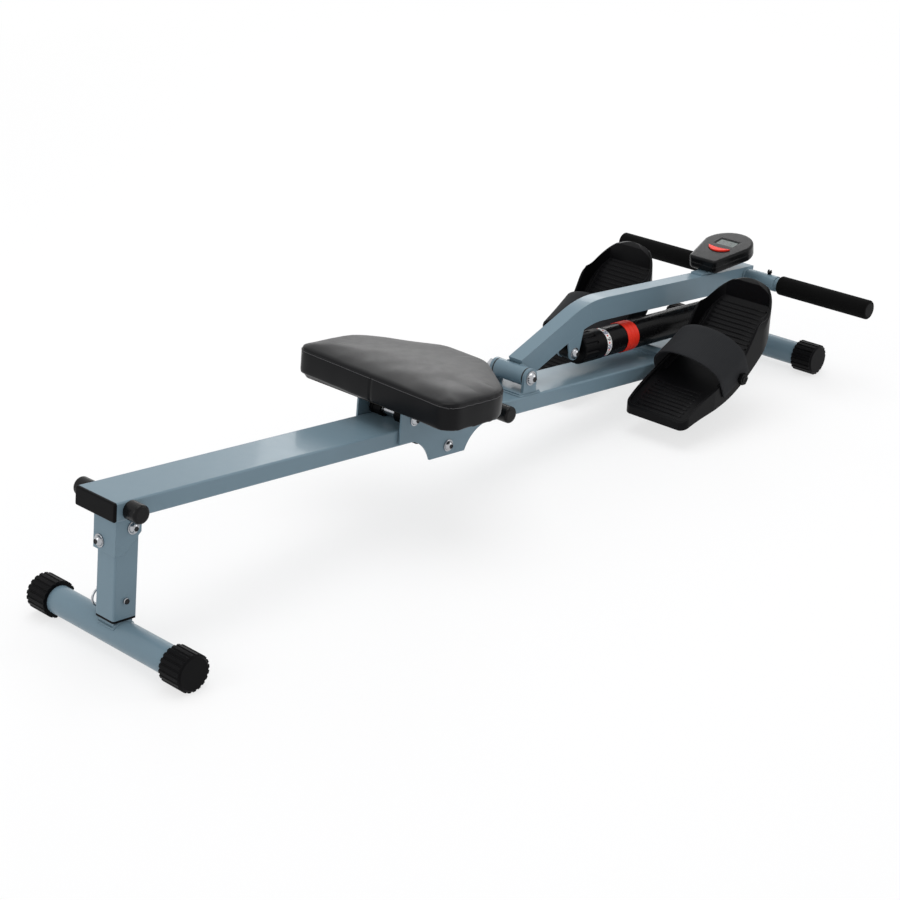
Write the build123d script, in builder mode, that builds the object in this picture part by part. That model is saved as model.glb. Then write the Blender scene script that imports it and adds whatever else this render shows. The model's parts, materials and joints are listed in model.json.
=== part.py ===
from build123d import *
import os
from math import cos, pi, radians, sin, tan

# A low home rowing machine: a wide sloping rail on two stabilizer tubes, a seat
# carriage on rollers, a pulling arm damped by one hydraulic cylinder, and two
# tilting pedals. +X points forward, +Y to the rower's left, +Z up, millimetres.
# The floor is Z = 0 and the origin lies midway between the two stabilizers.

# Rail
rail_pitch = 7.5
rail_width = 76.0
rail_depth = 25.0
rail_wall = 2.0
rail_corner = 3.0
rail_nose = 62.0
rail_lift = 2.0
plug_flange = 4.0
plug_round = 2.4
plug_clearance = 0.2

# Stabilizers and their end caps
tube_diameter = 38.0
tube_wall = 2.0
foot_span = 302.0
cap_across_flats = 50.0
cap_flats = 20
cap_length = 37.0
cap_end = 6.0
cap_groove = 1.8
cap_edge = 2.0

# Rear leg
leg_size = 36.0
leg_wall = 2.0
leg_corner = 3.0
leg_setback = 20.0
collar_wall = 1.5
collar_lip = 3.0
collar_gap = 0.8
post_wall = 2.0
post_reach = 62.0
bracket_wall = 3.0
bracket_gap = 0.2
bracket_drop = 53.0
bracket_bevel = 25.0
side_bolt_drop = 20.0
side_bolt_ahead = 5.0
rear_bolt_drop = 41.0
rear_bolt_aside = 9.0
leg_bolt_shank = 8.0

# Lock pin of the leg
pin_diameter = 8.0
pin_fit = 0.05
pin_rise = 24.0
pin_tip = 3.0
pin_chamfer = 1.0
pin_head = 14.0
pin_head_length = 5.0
pin_stem = 7.0
pin_stem_length = 12.0
ring_radius = 12.0
ring_wire = 3.0
ring_slack = 0.7

# Travel stops
stop_diameter = 25.0
stop_length = 22.0
stop_stud = 8.0
stop_stud_length = 10.0
stop_round = 4.0
stop_clearance = 0.2
rear_stop_reach = 25.0
stop_spacing = 668.0

# Seat carriage
plate_thickness = 3.0
plate_gap = 2.0
plate_length = 199.0
plate_top = 30.0
plate_skirt = 21.0
plate_bottom = 55.0
plate_lobe = 36.0
plate_scoop = 0.85
plate_flange = 22.0
plate_stop_gap = 0.5
roller_diameter = 22.0
roller_length = 70.0
roller_wheel = 22.0
roller_sleeve = 13.0
roller_rim = 8.0
roller_groove = 1.5
roller_chamfer = 1.0
under_roller_diameter = 30.0
roller_play = 0.3
roller_fit = 0.05
axle_diameter = 8.0
top_axle_spread = 147.0

# Seat
seat_board = 10.0
seat_board_inset = 12.0
seat_rear_overhang = 26.0
seat_length = 200.0
seat_rear_half = 136.0
seat_flare = 14.0
seat_half = 150.0
seat_waist = 118.0
seat_nose_half = 40.0
seat_corner = 22.0
seat_waist_corner = 70.0
seat_nose_corner = 50.0
seat_band = 28.0
seat_crown = 8.0
seat_screw = 6.0

# Hinge of the arm
hinge_ahead = 67.0
hinge_height = 25.0
hinge_tube = 28.0
hinge_tube_length = 54.0
bush_outer = 20.0
bush_flange = 2.0
bush_depth = 16.0
hinge_bolt = 10.0
hinge_fit = 0.05
ear_thickness = 5.0
ear_gap = 0.3
ear_round = 14.0
hinge_base = 4.0
hinge_base_length = 44.0

# Pulling arm and handle
arm_width = 25.0
arm_height = 36.0
arm_wall = 1.5
arm_bend_ahead = 155.0
arm_bend_height = 97.5
arm_bend_radius = 150.0
arm_end = 16.0
arm_start = 9.0
handle_ahead = 569.0
handle_height = 100.0
t_tube_diameter = 25.4
t_tube_half = 72.0
handle_tube = 22.0
handle_tube_wall = 1.5
handle_tube_inset = 18.0
grip_diameter = 31.0
grip_start = 79.0
grip_end = 247.0
grip_round = 3.0
grip_plug = 5.0
handle_screw = 5.0
handle_screw_reach = 55.0
handle_screw_height = 8.0
handle_screw_round = 1.0

# Cylinder, dial and rod
eye_ahead = 125.0
eye_height = 37.0
rod_ahead = 415.0
rod_height = 45.0
cylinder_ear = 3.0
cylinder_ear_round = 11.0
cylinder_ear_foot = 22.0
cylinder_ear_slant = 0.6
cylinder_pin = 8.0
cylinder_fit = 0.05
eye_side_gap = 0.5
eye_round = 10.0
stem_diameter = 14.0
dial_start = 17.0
dial_length = 51.0
dial_diameter = 47.0
dial_flutes = 12
dial_flute = 3.2
dial_flute_length = 30.8
dial_gap = 0.4
number_ring_length = 12.0
number_ring_diameter = 44.0
number_ring_wall = 3.0
barrel_length = 271.0
barrel_diameter = 46.0
barrel_wall = 4.0
barrel_head = 16.0
band_start = 39.0
band_length = 28.0
band_height = 0.8
band_rings = 3
band_ring_share = 0.7
gland_length = 10.0
gland_opening = 30.0
rod_diameter = 12.0
piston_diameter = 22.0
piston_length = 14.0
piston_travel_left = 108.0
rod_eye_round = 11.0
rod_eye_width = 16.0
rod_ear = 4.0
rod_ear_gap = 0.4

# Monitor
monitor_behind = 121.0
monitor_lift = 3.5
monitor_depth = 23.0
monitor_tilt = 15.0
monitor_length = 112.0
monitor_half = 43.0
monitor_near_half = 26.0
monitor_round = 8.0
monitor_edge = 3.5
monitor_back_round = 6.0
monitor_wall = 2.0
monitor_cover_depth = 11.0
monitor_clip_width = 20.0
monitor_clip_length = 46.0
window_near = 60.0
window_length = 22.0
window_half = 19.0
window_depth = 2.0
button_near = 35.0
button_length = 14.0
button_half = 21.0
button_proud = 2.0
button_travel = 1.5
button_gap = 0.3
board_thickness = 1.6
cell_diameter = 10.5
cell_length = 44.5
cell_near = 17.0
post_radius = 2.5
post_half = 15.0

# Pedals
pedal_axle_behind = 234.0
pedal_axle_diameter = 14.0
pedal_journal = 10.0
pedal_centre = 113.0
pedal_width = 122.0
pedal_wall = 4.0
pedal_bed_depth = 6.5
pedal_fit = 0.05
pedal_side_gap = 0.5
pedal_boss = 11.0
pedal_heel = 130.0
pedal_heel_drop = 57.0
pedal_heel_rim = 12.0
pedal_toe = 110.0
pedal_toe_rise = 84.0
pedal_toe_top = 124.0
pedal_toe_lean = 8.0
pedal_toe_arch = 60.0
pedal_toe_corner = 56.0
pedal_heel_corner = 12.0
pedal_heel_width = 114.0
pedal_taper = 70.0
pedal_bush = 14.0
pedal_sole_line = [(-95.0, -46.0), (-22.0, -28.0), (10.0, -11.5), (48.0, 17.0), (79.0, 46.0)]
pedal_rim_line = [(72.0, 108.0), (36.0, 68.0), (10.0, 30.0), (-49.0, -3.0)]
pedal_bed_line = [(-138.0, -53.0), (-49.0, -9.0), (20.0, 24.0), (60.0, 58.0), (92.0, 90.0)]
pedal_hollow_heel = 90.0
pedal_hollow_toe = 88.0
pedal_nut = 17.0
pedal_nut_length = 6.0
pedal_tips = {"left": 2.0, "right": -3.5}

# Foot straps
strap_thickness = 3.0
strap_clearance = 0.4
strap_width = 68.0
strap_height = 42.0
strap_tilt = 26.0
strap_back = 52.0
strap_base = 2.0
strap_tail = 28.0

# Bolts and nuts, as shares of the shank or of the head
bolt_head = 0.9
bolt_dome = 0.7
bolt_shoulder = 0.5
bolt_washer = 1.2
bolt_nut_half = 0.85
bolt_nut_depth = 0.8

# Places worked out from the sizes
front_stop_reach = rear_stop_reach + stop_spacing
hinge_reach = front_stop_reach + hinge_ahead
arm_bend_reach = hinge_reach + arm_bend_ahead
handle_reach = hinge_reach + handle_ahead
monitor_reach = handle_reach - monitor_behind
pedal_axle_reach = handle_reach - pedal_axle_behind
eye_reach = hinge_reach + eye_ahead
rod_reach = eye_reach + rod_ahead
rail_run = rod_reach + rail_nose
pitch = radians(rail_pitch)
foot_height = cap_across_flats / 2
rail_middle = rail_depth / 2 + rail_lift
rail_rear_height = foot_height + rail_run * sin(pitch) + rail_middle * cos(pitch)
leg_centre = leg_setback + leg_size / 2
rear_foot_drop = (rail_rear_height - leg_centre * sin(pitch) - foot_height) / cos(pitch)
rear_foot_x = leg_centre * cos(pitch) - rear_foot_drop * sin(pitch)
front_foot_x = rail_run * cos(pitch) - rail_middle * sin(pitch)
along = Vector(cos(pitch), 0, -sin(pitch))
above = Vector(sin(pitch), 0, cos(pitch))
left = Vector(0, 1, 0)
rail_rear = Vector(-(rear_foot_x + front_foot_x) / 2, 0, rail_rear_height)
leg_end = rear_foot_drop - tube_diameter / 2 - collar_lip - collar_gap
leg_drop = leg_end - rail_depth
sides = {"left": 1, "right": -1}
os.makedirs("parts", exist_ok=True)


def rail_point(reach, height, y=0.0):
    """A point given by its reach along the rail and its height over the rail's top."""
    return rail_rear + along * reach + above * height + left * y


def side_plane(reach=0.0, height=0.0, y=0.0):
    """Upright plane along the rail: local x runs forward, local y up, normal to the right."""
    return Plane(origin=rail_point(reach, height, y), x_dir=along, z_dir=-left)


def top_plane(reach=0.0, height=0.0, y=0.0):
    """Plane parallel to the rail's top: local x runs forward, local y to the left."""
    return Plane(origin=rail_point(reach, height, y), x_dir=along, z_dir=above)


def cross_plane(reach=0.0, height=0.0):
    """Plane square to the rail: local x runs to the left, local y up, normal forward."""
    return Plane(origin=rail_point(reach, height), x_dir=left, z_dir=along)


def finish(builder, node):
    """Name a finished sub-part and write it out."""
    builder.part.label = node
    export_step(builder.part, "parts/" + node + ".step")


def add_bolt(axis_plane, grip, shank, washer=1.5, tail=3.0):
    """A domed bolt with washers and a hexagon nut, centred on its grip along local x."""
    head = shank * bolt_head
    rim = head * bolt_washer
    nut_end = grip / 2 + washer + shank * bolt_nut_depth
    start = -grip / 2 - washer
    with BuildSketch(axis_plane) as profile:
        with BuildLine():
            crown = ThreePointArc(
                (start - head * bolt_dome, 0),
                (start - head * bolt_shoulder, head * bolt_dome),
                (start, head),
            )
            Polyline(
                crown @ 1,
                (start, rim),
                (-grip / 2, rim),
                (-grip / 2, shank / 2),
                (grip / 2, shank / 2),
                (grip / 2, rim),
                (grip / 2 + washer, rim),
                (grip / 2 + washer, shank / 2),
                (nut_end + tail, shank / 2),
                (nut_end + tail, 0),
                crown @ 0,
            )
        make_face()
    revolve(profile.sketch, axis=Axis(axis_plane.origin, axis_plane.x_dir))
    nut_plane = Plane(
        origin=axis_plane.from_local_coords(Vector(grip / 2 + washer, 0, 0)),
        z_dir=axis_plane.x_dir,
    )
    with BuildSketch(nut_plane) as nut:
        RegularPolygon(shank * bolt_nut_half, 6, major_radius=False)
    extrude(nut.sketch, amount=shank * bolt_nut_depth)


def across(reach, height, y=0.0):
    """Plane whose local x runs from right to left through a point of the rail's side view."""
    return Plane(origin=rail_point(reach, height, y), x_dir=left, z_dir=along)


# Rail and its end plug
with BuildPart() as slide_rail:
    with BuildSketch(cross_plane(plug_flange, -rail_depth / 2)):
        RectangleRounded(rail_width, rail_depth, rail_corner)
        RectangleRounded(
            rail_width - 2 * rail_wall,
            rail_depth - 2 * rail_wall,
            rail_corner - rail_wall,
            mode=Mode.SUBTRACT,
        )
    extrude(amount=rail_run - plug_flange)
    with BuildSketch(side_plane(rail_run, -rail_middle)):
        Circle(tube_diameter / 2)
    extrude(amount=rail_width, both=True, mode=Mode.SUBTRACT)
    with BuildSketch(side_plane(0, -rail_depth / 2)):
        with Locations((rear_stop_reach, 0), (front_stop_reach, 0)):
            Circle(stop_stud / 2 + stop_clearance)
    extrude(amount=rail_width, both=True, mode=Mode.SUBTRACT)
finish(slide_rail, "slide_rail")

with BuildPart() as rail_end_plug:
    with BuildSketch(cross_plane(0, -rail_depth / 2)):
        RectangleRounded(rail_width, rail_depth, rail_corner)
    extrude(amount=plug_flange)
    fillet(rail_end_plug.faces().sort_by(Axis(rail_rear, along))[0].edges(), plug_round)
    with BuildSketch(cross_plane(plug_flange, -rail_depth / 2)):
        RectangleRounded(
            rail_width - 2 * rail_wall - 2 * plug_clearance,
            rail_depth - 2 * rail_wall - 2 * plug_clearance,
            rail_corner - rail_wall,
        )
    extrude(amount=rear_stop_reach - stop_stud / 2 - stop_clearance - plug_flange)
finish(rail_end_plug, "rail_end_plug")

# Rear leg, its bracket and its bolts
leg_hold = leg_size + 2 * bracket_gap
with BuildPart() as leg_bracket:
    with BuildSketch(top_plane(leg_centre, -rail_depth)):
        with Locations((-(leg_hold / 2 + bracket_wall), 0)):
            Rectangle(
                leg_hold + bracket_wall,
                leg_hold + 2 * bracket_wall,
                align=(Align.MIN, Align.CENTER),
            )
        with Locations((-leg_hold / 2, 0)):
            Rectangle(
                leg_hold + bracket_wall,
                leg_hold,
                align=(Align.MIN, Align.CENTER),
                mode=Mode.SUBTRACT,
            )
    extrude(amount=-bracket_drop)
    with BuildSketch(side_plane(leg_centre + leg_hold / 2, -rail_depth - bracket_drop)):
        with BuildLine():
            Polyline((-bracket_bevel, 0), (0, 0), (0, bracket_bevel), close=True)
        make_face()
    extrude(amount=leg_size, both=True, mode=Mode.SUBTRACT)
    with BuildSketch(side_plane(leg_centre + side_bolt_ahead, -rail_depth - side_bolt_drop)):
        Circle(leg_bolt_shank / 2 + pin_fit)
    extrude(amount=leg_size, both=True, mode=Mode.SUBTRACT)
    with BuildSketch(cross_plane(leg_centre, -rail_depth - rear_bolt_drop)):
        with Locations((rear_bolt_aside, 0)):
            Circle(leg_bolt_shank / 2 + pin_fit)
    extrude(amount=-leg_size, mode=Mode.SUBTRACT)
finish(leg_bracket, "leg_bracket")

with BuildPart() as rear_leg:
    with BuildSketch(top_plane(leg_centre, -rail_depth)):
        RectangleRounded(leg_size, leg_size, leg_corner)
        RectangleRounded(
            leg_size - 2 * leg_wall,
            leg_size - 2 * leg_wall,
            leg_corner - leg_wall,
            mode=Mode.SUBTRACT,
        )
    extrude(amount=-leg_drop)
    with BuildSketch(side_plane(leg_centre, -leg_end)):
        with Locations((0, pin_rise)):
            Circle(pin_diameter / 2 + pin_fit)
        with Locations((side_bolt_ahead, leg_drop - side_bolt_drop)):
            Circle(leg_bolt_shank / 2 + pin_fit)
    extrude(amount=leg_size, both=True, mode=Mode.SUBTRACT)
    with BuildSketch(cross_plane(leg_centre, -rail_depth - rear_bolt_drop)):
        with Locations((rear_bolt_aside, 0)):
            Circle(leg_bolt_shank / 2 + pin_fit)
    extrude(amount=leg_size, both=True, mode=Mode.SUBTRACT)
finish(rear_leg, "rear_leg")

side_grip = leg_hold + 2 * bracket_wall
rear_grip = leg_size + bracket_gap + bracket_wall
with BuildPart() as leg_bolts:
    side_bolt_reach = leg_centre + side_bolt_ahead
    add_bolt(across(side_bolt_reach, -rail_depth - side_bolt_drop), side_grip, leg_bolt_shank)
    rear_bolt_middle = leg_centre + leg_size / 2 - rear_grip / 2
    rear_bolt_height = -rail_depth - rear_bolt_drop
    add_bolt(side_plane(rear_bolt_middle, rear_bolt_height, rear_bolt_aside), rear_grip, leg_bolt_shank)
finish(leg_bolts, "leg_bolts")

# Foot post with the rear stabilizer, the collar that guides it, and the front stabilizer
post_size = leg_size - 2 * leg_wall - 2 * collar_wall
collar_hold = leg_size - 2 * leg_wall
stabilizer_length = foot_span - 2 * cap_end
rear_axis = Plane(origin=rail_point(leg_centre, -rear_foot_drop), x_dir=along, z_dir=-left)
front_axis = Plane(origin=rail_point(rail_run, -rail_middle), x_dir=along, z_dir=-left)

with BuildPart() as leg_collar:
    with BuildSketch(top_plane(leg_centre, -leg_end)):
        RectangleRounded(collar_hold, collar_hold, leg_corner - leg_wall)
        Rectangle(post_size, post_size, mode=Mode.SUBTRACT)
    extrude(amount=post_reach - collar_lip)
    with BuildSketch(top_plane(leg_centre, -leg_end)):
        RectangleRounded(leg_size, leg_size, leg_corner)
        Rectangle(post_size, post_size, mode=Mode.SUBTRACT)
    extrude(amount=-collar_lip)
    with BuildSketch(side_plane(leg_centre, -leg_end + pin_rise)):
        Circle(pin_diameter / 2 + pin_fit)
    extrude(amount=leg_size, both=True, mode=Mode.SUBTRACT)
finish(leg_collar, "leg_collar")

with BuildPart() as rear_stabilizer:
    with BuildSketch(rear_axis):
        Circle(tube_diameter / 2)
    extrude(amount=stabilizer_length / 2, both=True)
    with BuildSketch(top_plane(leg_centre, -leg_end + post_reach)):
        Rectangle(post_size, post_size)
    extrude(amount=-(post_reach + rear_foot_drop - leg_end))
    with BuildSketch(top_plane(leg_centre, -leg_end + post_reach)):
        Rectangle(post_size - 2 * post_wall, post_size - 2 * post_wall)
    extrude(amount=-post_reach, mode=Mode.SUBTRACT)
    with BuildSketch(rear_axis):
        Circle(tube_diameter / 2 - tube_wall)
    extrude(amount=stabilizer_length / 2, both=True, mode=Mode.SUBTRACT)
    with BuildSketch(side_plane(leg_centre, -leg_end + pin_rise)):
        Circle(pin_diameter / 2 + pin_fit)
    extrude(amount=leg_size, both=True, mode=Mode.SUBTRACT)
finish(rear_stabilizer, "rear_stabilizer")

with BuildPart() as front_stabilizer:
    with BuildSketch(front_axis):
        Circle(tube_diameter / 2)
        Circle(tube_diameter / 2 - tube_wall, mode=Mode.SUBTRACT)
    extrude(amount=stabilizer_length / 2, both=True)
finish(front_stabilizer, "front_stabilizer")


def add_cap(axis_point, side):
    """A ribbed end cap: a many-sided cup whose flats stand on the floor."""
    mouth = axis_point + left * side * (foot_span / 2 - cap_length)
    plane = Plane(origin=mouth, x_dir=(1, 0, 0), z_dir=left * side)
    corner = cap_across_flats / 2 / cos(pi / cap_flats)
    with BuildSketch(plane) as skirt:
        RegularPolygon(cap_across_flats / 2, cap_flats, major_radius=False, rotation=180 / cap_flats)
        with PolarLocations(corner, cap_flats, start_angle=180 / cap_flats):
            Circle(cap_groove, mode=Mode.SUBTRACT)
    extrude(skirt.sketch, amount=cap_length - cap_edge)
    with BuildSketch(plane.offset(cap_length - cap_edge)) as edge:
        Circle(cap_across_flats / 2 - cap_groove)
    extrude(edge.sketch, amount=cap_edge, taper=45)
    with BuildSketch(plane) as socket:
        Circle(tube_diameter / 2)
    extrude(socket.sketch, amount=cap_length - cap_end, mode=Mode.SUBTRACT)


with BuildPart() as stabilizer_caps:
    for axis_point in (rear_axis.origin, front_axis.origin):
        for side in sides.values():
            add_cap(axis_point, side)
finish(stabilizer_caps, "stabilizer_caps")

# Lock pin with its pull ring, pulled out to the left
pin_centre = rail_point(leg_centre, -leg_end + pin_rise)
pin_face = leg_size / 2
stem_hole = pin_face + pin_head_length + pin_stem_length - pin_stem / 2
with BuildPart() as lock_pin:
    with BuildSketch(Plane(origin=pin_centre, x_dir=left, z_dir=along)):
        with BuildLine():
            Polyline(
                (-pin_face - pin_tip, 0),
                (-pin_face - pin_tip, pin_diameter / 2 - pin_chamfer),
                (-pin_face - pin_tip + pin_chamfer, pin_diameter / 2),
                (pin_face, pin_diameter / 2),
                (pin_face, pin_head / 2),
                (pin_face + pin_head_length, pin_head / 2),
                (pin_face + pin_head_length, pin_stem / 2),
                (pin_face + pin_head_length + pin_stem_length, pin_stem / 2),
                (pin_face + pin_head_length + pin_stem_length, 0),
                close=True,
            )
        make_face()
    revolve(axis=Axis(pin_centre, left))
    with BuildSketch(Plane(origin=pin_centre + left * stem_hole, x_dir=left, z_dir=along)):
        Circle(ring_wire / 2 + ring_slack)
    extrude(amount=pin_stem, both=True, mode=Mode.SUBTRACT)
finish(lock_pin, "lock_pin")

with BuildPart() as pull_ring:
    ring_centre = pin_centre + left * stem_hole - above * ring_radius
    with BuildSketch(Plane(origin=ring_centre + above * ring_radius, x_dir=left, z_dir=along)):
        Circle(ring_wire / 2)
    revolve(axis=Axis(ring_centre, left))
finish(pull_ring, "pull_ring")

# Rubber stops that end the carriage's travel
with BuildPart() as travel_stops:
    for reach in (rear_stop_reach, front_stop_reach):
        for side in sides.values():
            stop_face = rail_point(reach, -rail_depth / 2, side * rail_width / 2)
            with BuildSketch(Plane(origin=stop_face, x_dir=left * side, z_dir=along)):
                with BuildLine():
                    rim = stop_diameter / 2
                    Polyline(
                        (-stop_stud_length, 0),
                        (-stop_stud_length, stop_stud / 2),
                        (0, stop_stud / 2),
                        (0, rim),
                        (stop_length - stop_round, rim),
                    )
                    RadiusArc((stop_length - stop_round, rim), (stop_length, rim - stop_round), stop_round)
                    Polyline((stop_length, rim - stop_round), (stop_length, 0), (-stop_stud_length, 0))
                make_face()
            revolve(axis=Axis(stop_face, left * side))
finish(travel_stops, "travel_stops")

# Seat carriage: two scalloped side plates on three roller axles
plate_front = front_stop_reach - stop_diameter / 2 - plate_stop_gap
carriage_reach = plate_front - plate_length / 2
plate_inner = rail_width / 2 + plate_gap
plate_outer = plate_inner + plate_thickness
top_axle_height = roller_diameter / 2 + roller_play
under_axle_height = -rail_depth - under_roller_diameter / 2 - roller_play
top_axle_reaches = {
    "rear": carriage_reach - top_axle_spread / 2,
    "front": carriage_reach + top_axle_spread / 2,
}


def add_carriage_plate(side):
    """One side plate with its inward flange under the seat board and its axle holes."""
    half = plate_length / 2
    with BuildSketch(side_plane(carriage_reach, 0, side * plate_inner)) as web:
        with BuildLine():
            Line((half, plate_top), (-half, plate_top))
            Line((-half, plate_top), (-half, -plate_skirt))
            scoop = (half - plate_lobe) * plate_scoop
            RadiusArc((-half, -plate_skirt), (-plate_lobe, -plate_bottom), scoop)
            Line((-plate_lobe, -plate_bottom), (plate_lobe, -plate_bottom))
            RadiusArc((plate_lobe, -plate_bottom), (half, -plate_skirt), scoop)
            Line((half, -plate_skirt), (half, plate_top))
        make_face()
        with Locations((-top_axle_spread / 2, top_axle_height), (top_axle_spread / 2, top_axle_height)):
            Circle(axle_diameter / 2 + roller_fit, mode=Mode.SUBTRACT)
        with Locations((0, under_axle_height)):
            Circle(axle_diameter / 2 + roller_fit, mode=Mode.SUBTRACT)
    extrude(web.sketch, amount=-side * plate_thickness)
    flange_middle = side * (plate_outer - plate_flange / 2)
    with BuildSketch(top_plane(carriage_reach, plate_top, flange_middle)) as flange:
        Rectangle(plate_length, plate_flange)
        for end in (-1, 1):
            with Locations((end * top_axle_spread / 2, -side * plate_thickness)):
                Circle(seat_screw / 2 + roller_fit, mode=Mode.SUBTRACT)
    extrude(flange.sketch, amount=-plate_thickness)


for side_name, side in sides.items():
    with BuildPart() as carriage_plate:
        add_carriage_plate(side)
    finish(carriage_plate, "carriage_plate_" + side_name)

with BuildPart() as carriage_axles:
    for reach in top_axle_reaches.values():
        add_bolt(across(reach, top_axle_height), 2 * plate_outer, axle_diameter)
    add_bolt(across(carriage_reach, under_axle_height), 2 * plate_outer, axle_diameter)
finish(carriage_axles, "carriage_axles")


def add_roller(reach, height, diameter):
    """A roller for one axle: two wheels with grooved rims, joined by a thin sleeve."""
    half = roller_length / 2
    bore = axle_diameter / 2 + roller_fit
    radius = diameter / 2
    inside = half - roller_wheel
    with BuildSketch(across(reach, height)) as profile:
        with BuildLine():
            Polyline(
                (-half, bore),
                (-half, radius - roller_chamfer),
                (-half + roller_chamfer, radius),
                (-inside, radius),
                (-inside, roller_sleeve / 2),
                (inside, roller_sleeve / 2),
                (inside, radius),
                (half - roller_chamfer, radius),
                (half, radius - roller_chamfer),
                (half, bore),
                close=True,
            )
        make_face()
        for end in (-1, 1):
            with Locations((end * (half - roller_rim), radius), (end * (half - roller_rim / 2), radius)):
                Rectangle(roller_groove, 2 * roller_groove, mode=Mode.SUBTRACT)
    revolve(profile.sketch, axis=Axis(rail_point(reach, height), left))


for place, reach in top_axle_reaches.items():
    with BuildPart() as top_roller:
        add_roller(reach, top_axle_height, roller_diameter)
    finish(top_roller, place + "_roller")

with BuildPart() as under_roller:
    add_roller(carriage_reach, under_axle_height, under_roller_diameter)
finish(under_roller, "under_roller")

# Seat board, cushion and screws
seat_rear = carriage_reach - plate_length / 2 - seat_rear_overhang
cushion_base = plate_top + seat_board
screw_middle = plate_length / 2 + seat_rear_overhang
screw_side = plate_outer - plate_flange / 2 - plate_thickness
screw_spots = [
    (screw_middle + end * top_axle_spread / 2, side * screw_side)
    for end in (-1, 1)
    for side in sides.values()
]

with BuildSketch() as seat_plan:
    with BuildLine():
        Polyline(
            (0, -seat_rear_half),
            (seat_flare, -seat_half),
            (seat_waist, -seat_half),
            (seat_length, -seat_nose_half),
            (seat_length, seat_nose_half),
            (seat_waist, seat_half),
            (seat_flare, seat_half),
            (0, seat_rear_half),
            close=True,
        )
    make_face()
    fillet(seat_plan.vertices().group_by(Axis.X)[-1], seat_nose_corner)
    fillet(seat_plan.vertices().group_by(Axis.X)[2], seat_waist_corner)
    fillet(seat_plan.vertices().group_by(Axis.X)[1], seat_corner)
    fillet(seat_plan.vertices().group_by(Axis.X)[0], seat_corner)

with BuildPart() as seat_base:
    with BuildSketch(top_plane(seat_rear, plate_top)):
        offset(seat_plan.sketch, amount=-seat_board_inset)
        with Locations(*screw_spots):
            Circle(seat_screw / 2, mode=Mode.SUBTRACT)
    extrude(amount=seat_board)
finish(seat_base, "seat_base")

with BuildPart() as seat_cushion:
    with BuildSketch(top_plane(seat_rear, cushion_base)):
        add(seat_plan.sketch)
    extrude(amount=seat_band + seat_crown)
    fillet(seat_cushion.faces().sort_by(Axis(rail_rear, above))[-1].edges(), seat_crown)
finish(seat_cushion, "seat_cushion")

with BuildPart() as seat_screws:
    with BuildSketch(top_plane(seat_rear, plate_top - plate_thickness)):
        with Locations(*screw_spots):
            Circle(seat_screw)
    extrude(amount=-seat_screw / 2)
    with BuildSketch(top_plane(seat_rear, plate_top - plate_thickness)):
        with Locations(*screw_spots):
            Circle(seat_screw / 2)
    extrude(amount=plate_thickness + seat_board)
finish(seat_screws, "seat_screws")

# Hinge of the pulling arm on the rail
hinge_half = hinge_tube_length / 2 + bush_flange + ear_gap


def add_ears(reach, height, inner, thickness, radius, hole, base, base_length):
    """A base plate on the rail with two round-topped ears that share one cross hole."""
    with BuildSketch(top_plane(reach, 0)) as foot:
        Rectangle(base_length, 2 * (inner + thickness))
    extrude(foot.sketch, amount=base)
    for side in sides.values():
        with BuildSketch(side_plane(reach, 0, side * inner)) as ear:
            Rectangle(2 * radius, height, align=(Align.CENTER, Align.MIN))
            with Locations((0, height)):
                Circle(radius)
                Circle(hole, mode=Mode.SUBTRACT)
        extrude(ear.sketch, amount=-side * thickness)


with BuildPart() as hinge_bracket:
    hinge_hole = hinge_bolt / 2 + hinge_fit
    add_ears(
        hinge_reach,
        hinge_height,
        hinge_half,
        ear_thickness,
        ear_round,
        hinge_hole,
        hinge_base,
        hinge_base_length,
    )
finish(hinge_bracket, "hinge_bracket")

with BuildPart() as arm_pivot_bolt:
    add_bolt(across(hinge_reach, hinge_height), 2 * (hinge_half + ear_thickness), hinge_bolt)
finish(arm_pivot_bolt, "arm_pivot_bolt")

with BuildPart() as arm_pivot_tube:
    with BuildSketch(side_plane(hinge_reach, hinge_height)):
        Circle(hinge_tube / 2)
        Circle(bush_outer / 2, mode=Mode.SUBTRACT)
    extrude(amount=hinge_tube_length / 2, both=True)
finish(arm_pivot_tube, "arm_pivot_tube")

with BuildPart() as pivot_bushes:
    for side in sides.values():
        mouth = side_plane(hinge_reach, hinge_height, side * hinge_tube_length / 2)
        with BuildSketch(mouth):
            Circle(hinge_tube / 2)
            Circle(hinge_bolt / 2 + hinge_fit, mode=Mode.SUBTRACT)
        extrude(amount=-side * bush_flange)
        with BuildSketch(mouth):
            Circle(bush_outer / 2)
            Circle(hinge_bolt / 2 + hinge_fit, mode=Mode.SUBTRACT)
        extrude(amount=side * bush_depth)
finish(pivot_bushes, "pivot_bushes")

# Bent arm, cross tube and handles
arm_slope = (arm_bend_height - hinge_height) / (arm_bend_reach - hinge_reach)
arm_top = arm_bend_height + arm_height / 2
arm_tip = handle_reach + arm_end
first_reach = hinge_reach + arm_start

with BuildLine(side_plane()) as arm_line:
    FilletPolyline(
        (first_reach, hinge_height + arm_slope * arm_start),
        (arm_bend_reach, arm_bend_height),
        (arm_tip, arm_bend_height),
        radius=arm_bend_radius,
    )
arm_mouth = Plane(origin=arm_line.line @ 0, x_dir=left, z_dir=arm_line.line % 0)
arm_bend = arm_line.edges().filter_by(GeomType.CIRCLE)[0]
bend_middle = Plane(origin=arm_bend @ 0.5, x_dir=left, z_dir=arm_bend % 0.5)

with BuildPart() as arm_body:
    with BuildSketch(arm_mouth):
        Rectangle(arm_width, arm_height)
    sweep(path=arm_line.line)

with BuildPart() as arm_core:
    with BuildSketch(arm_mouth):
        Rectangle(arm_width - 2 * arm_wall, arm_height - 2 * arm_wall)
    sweep(path=arm_line.line)

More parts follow.
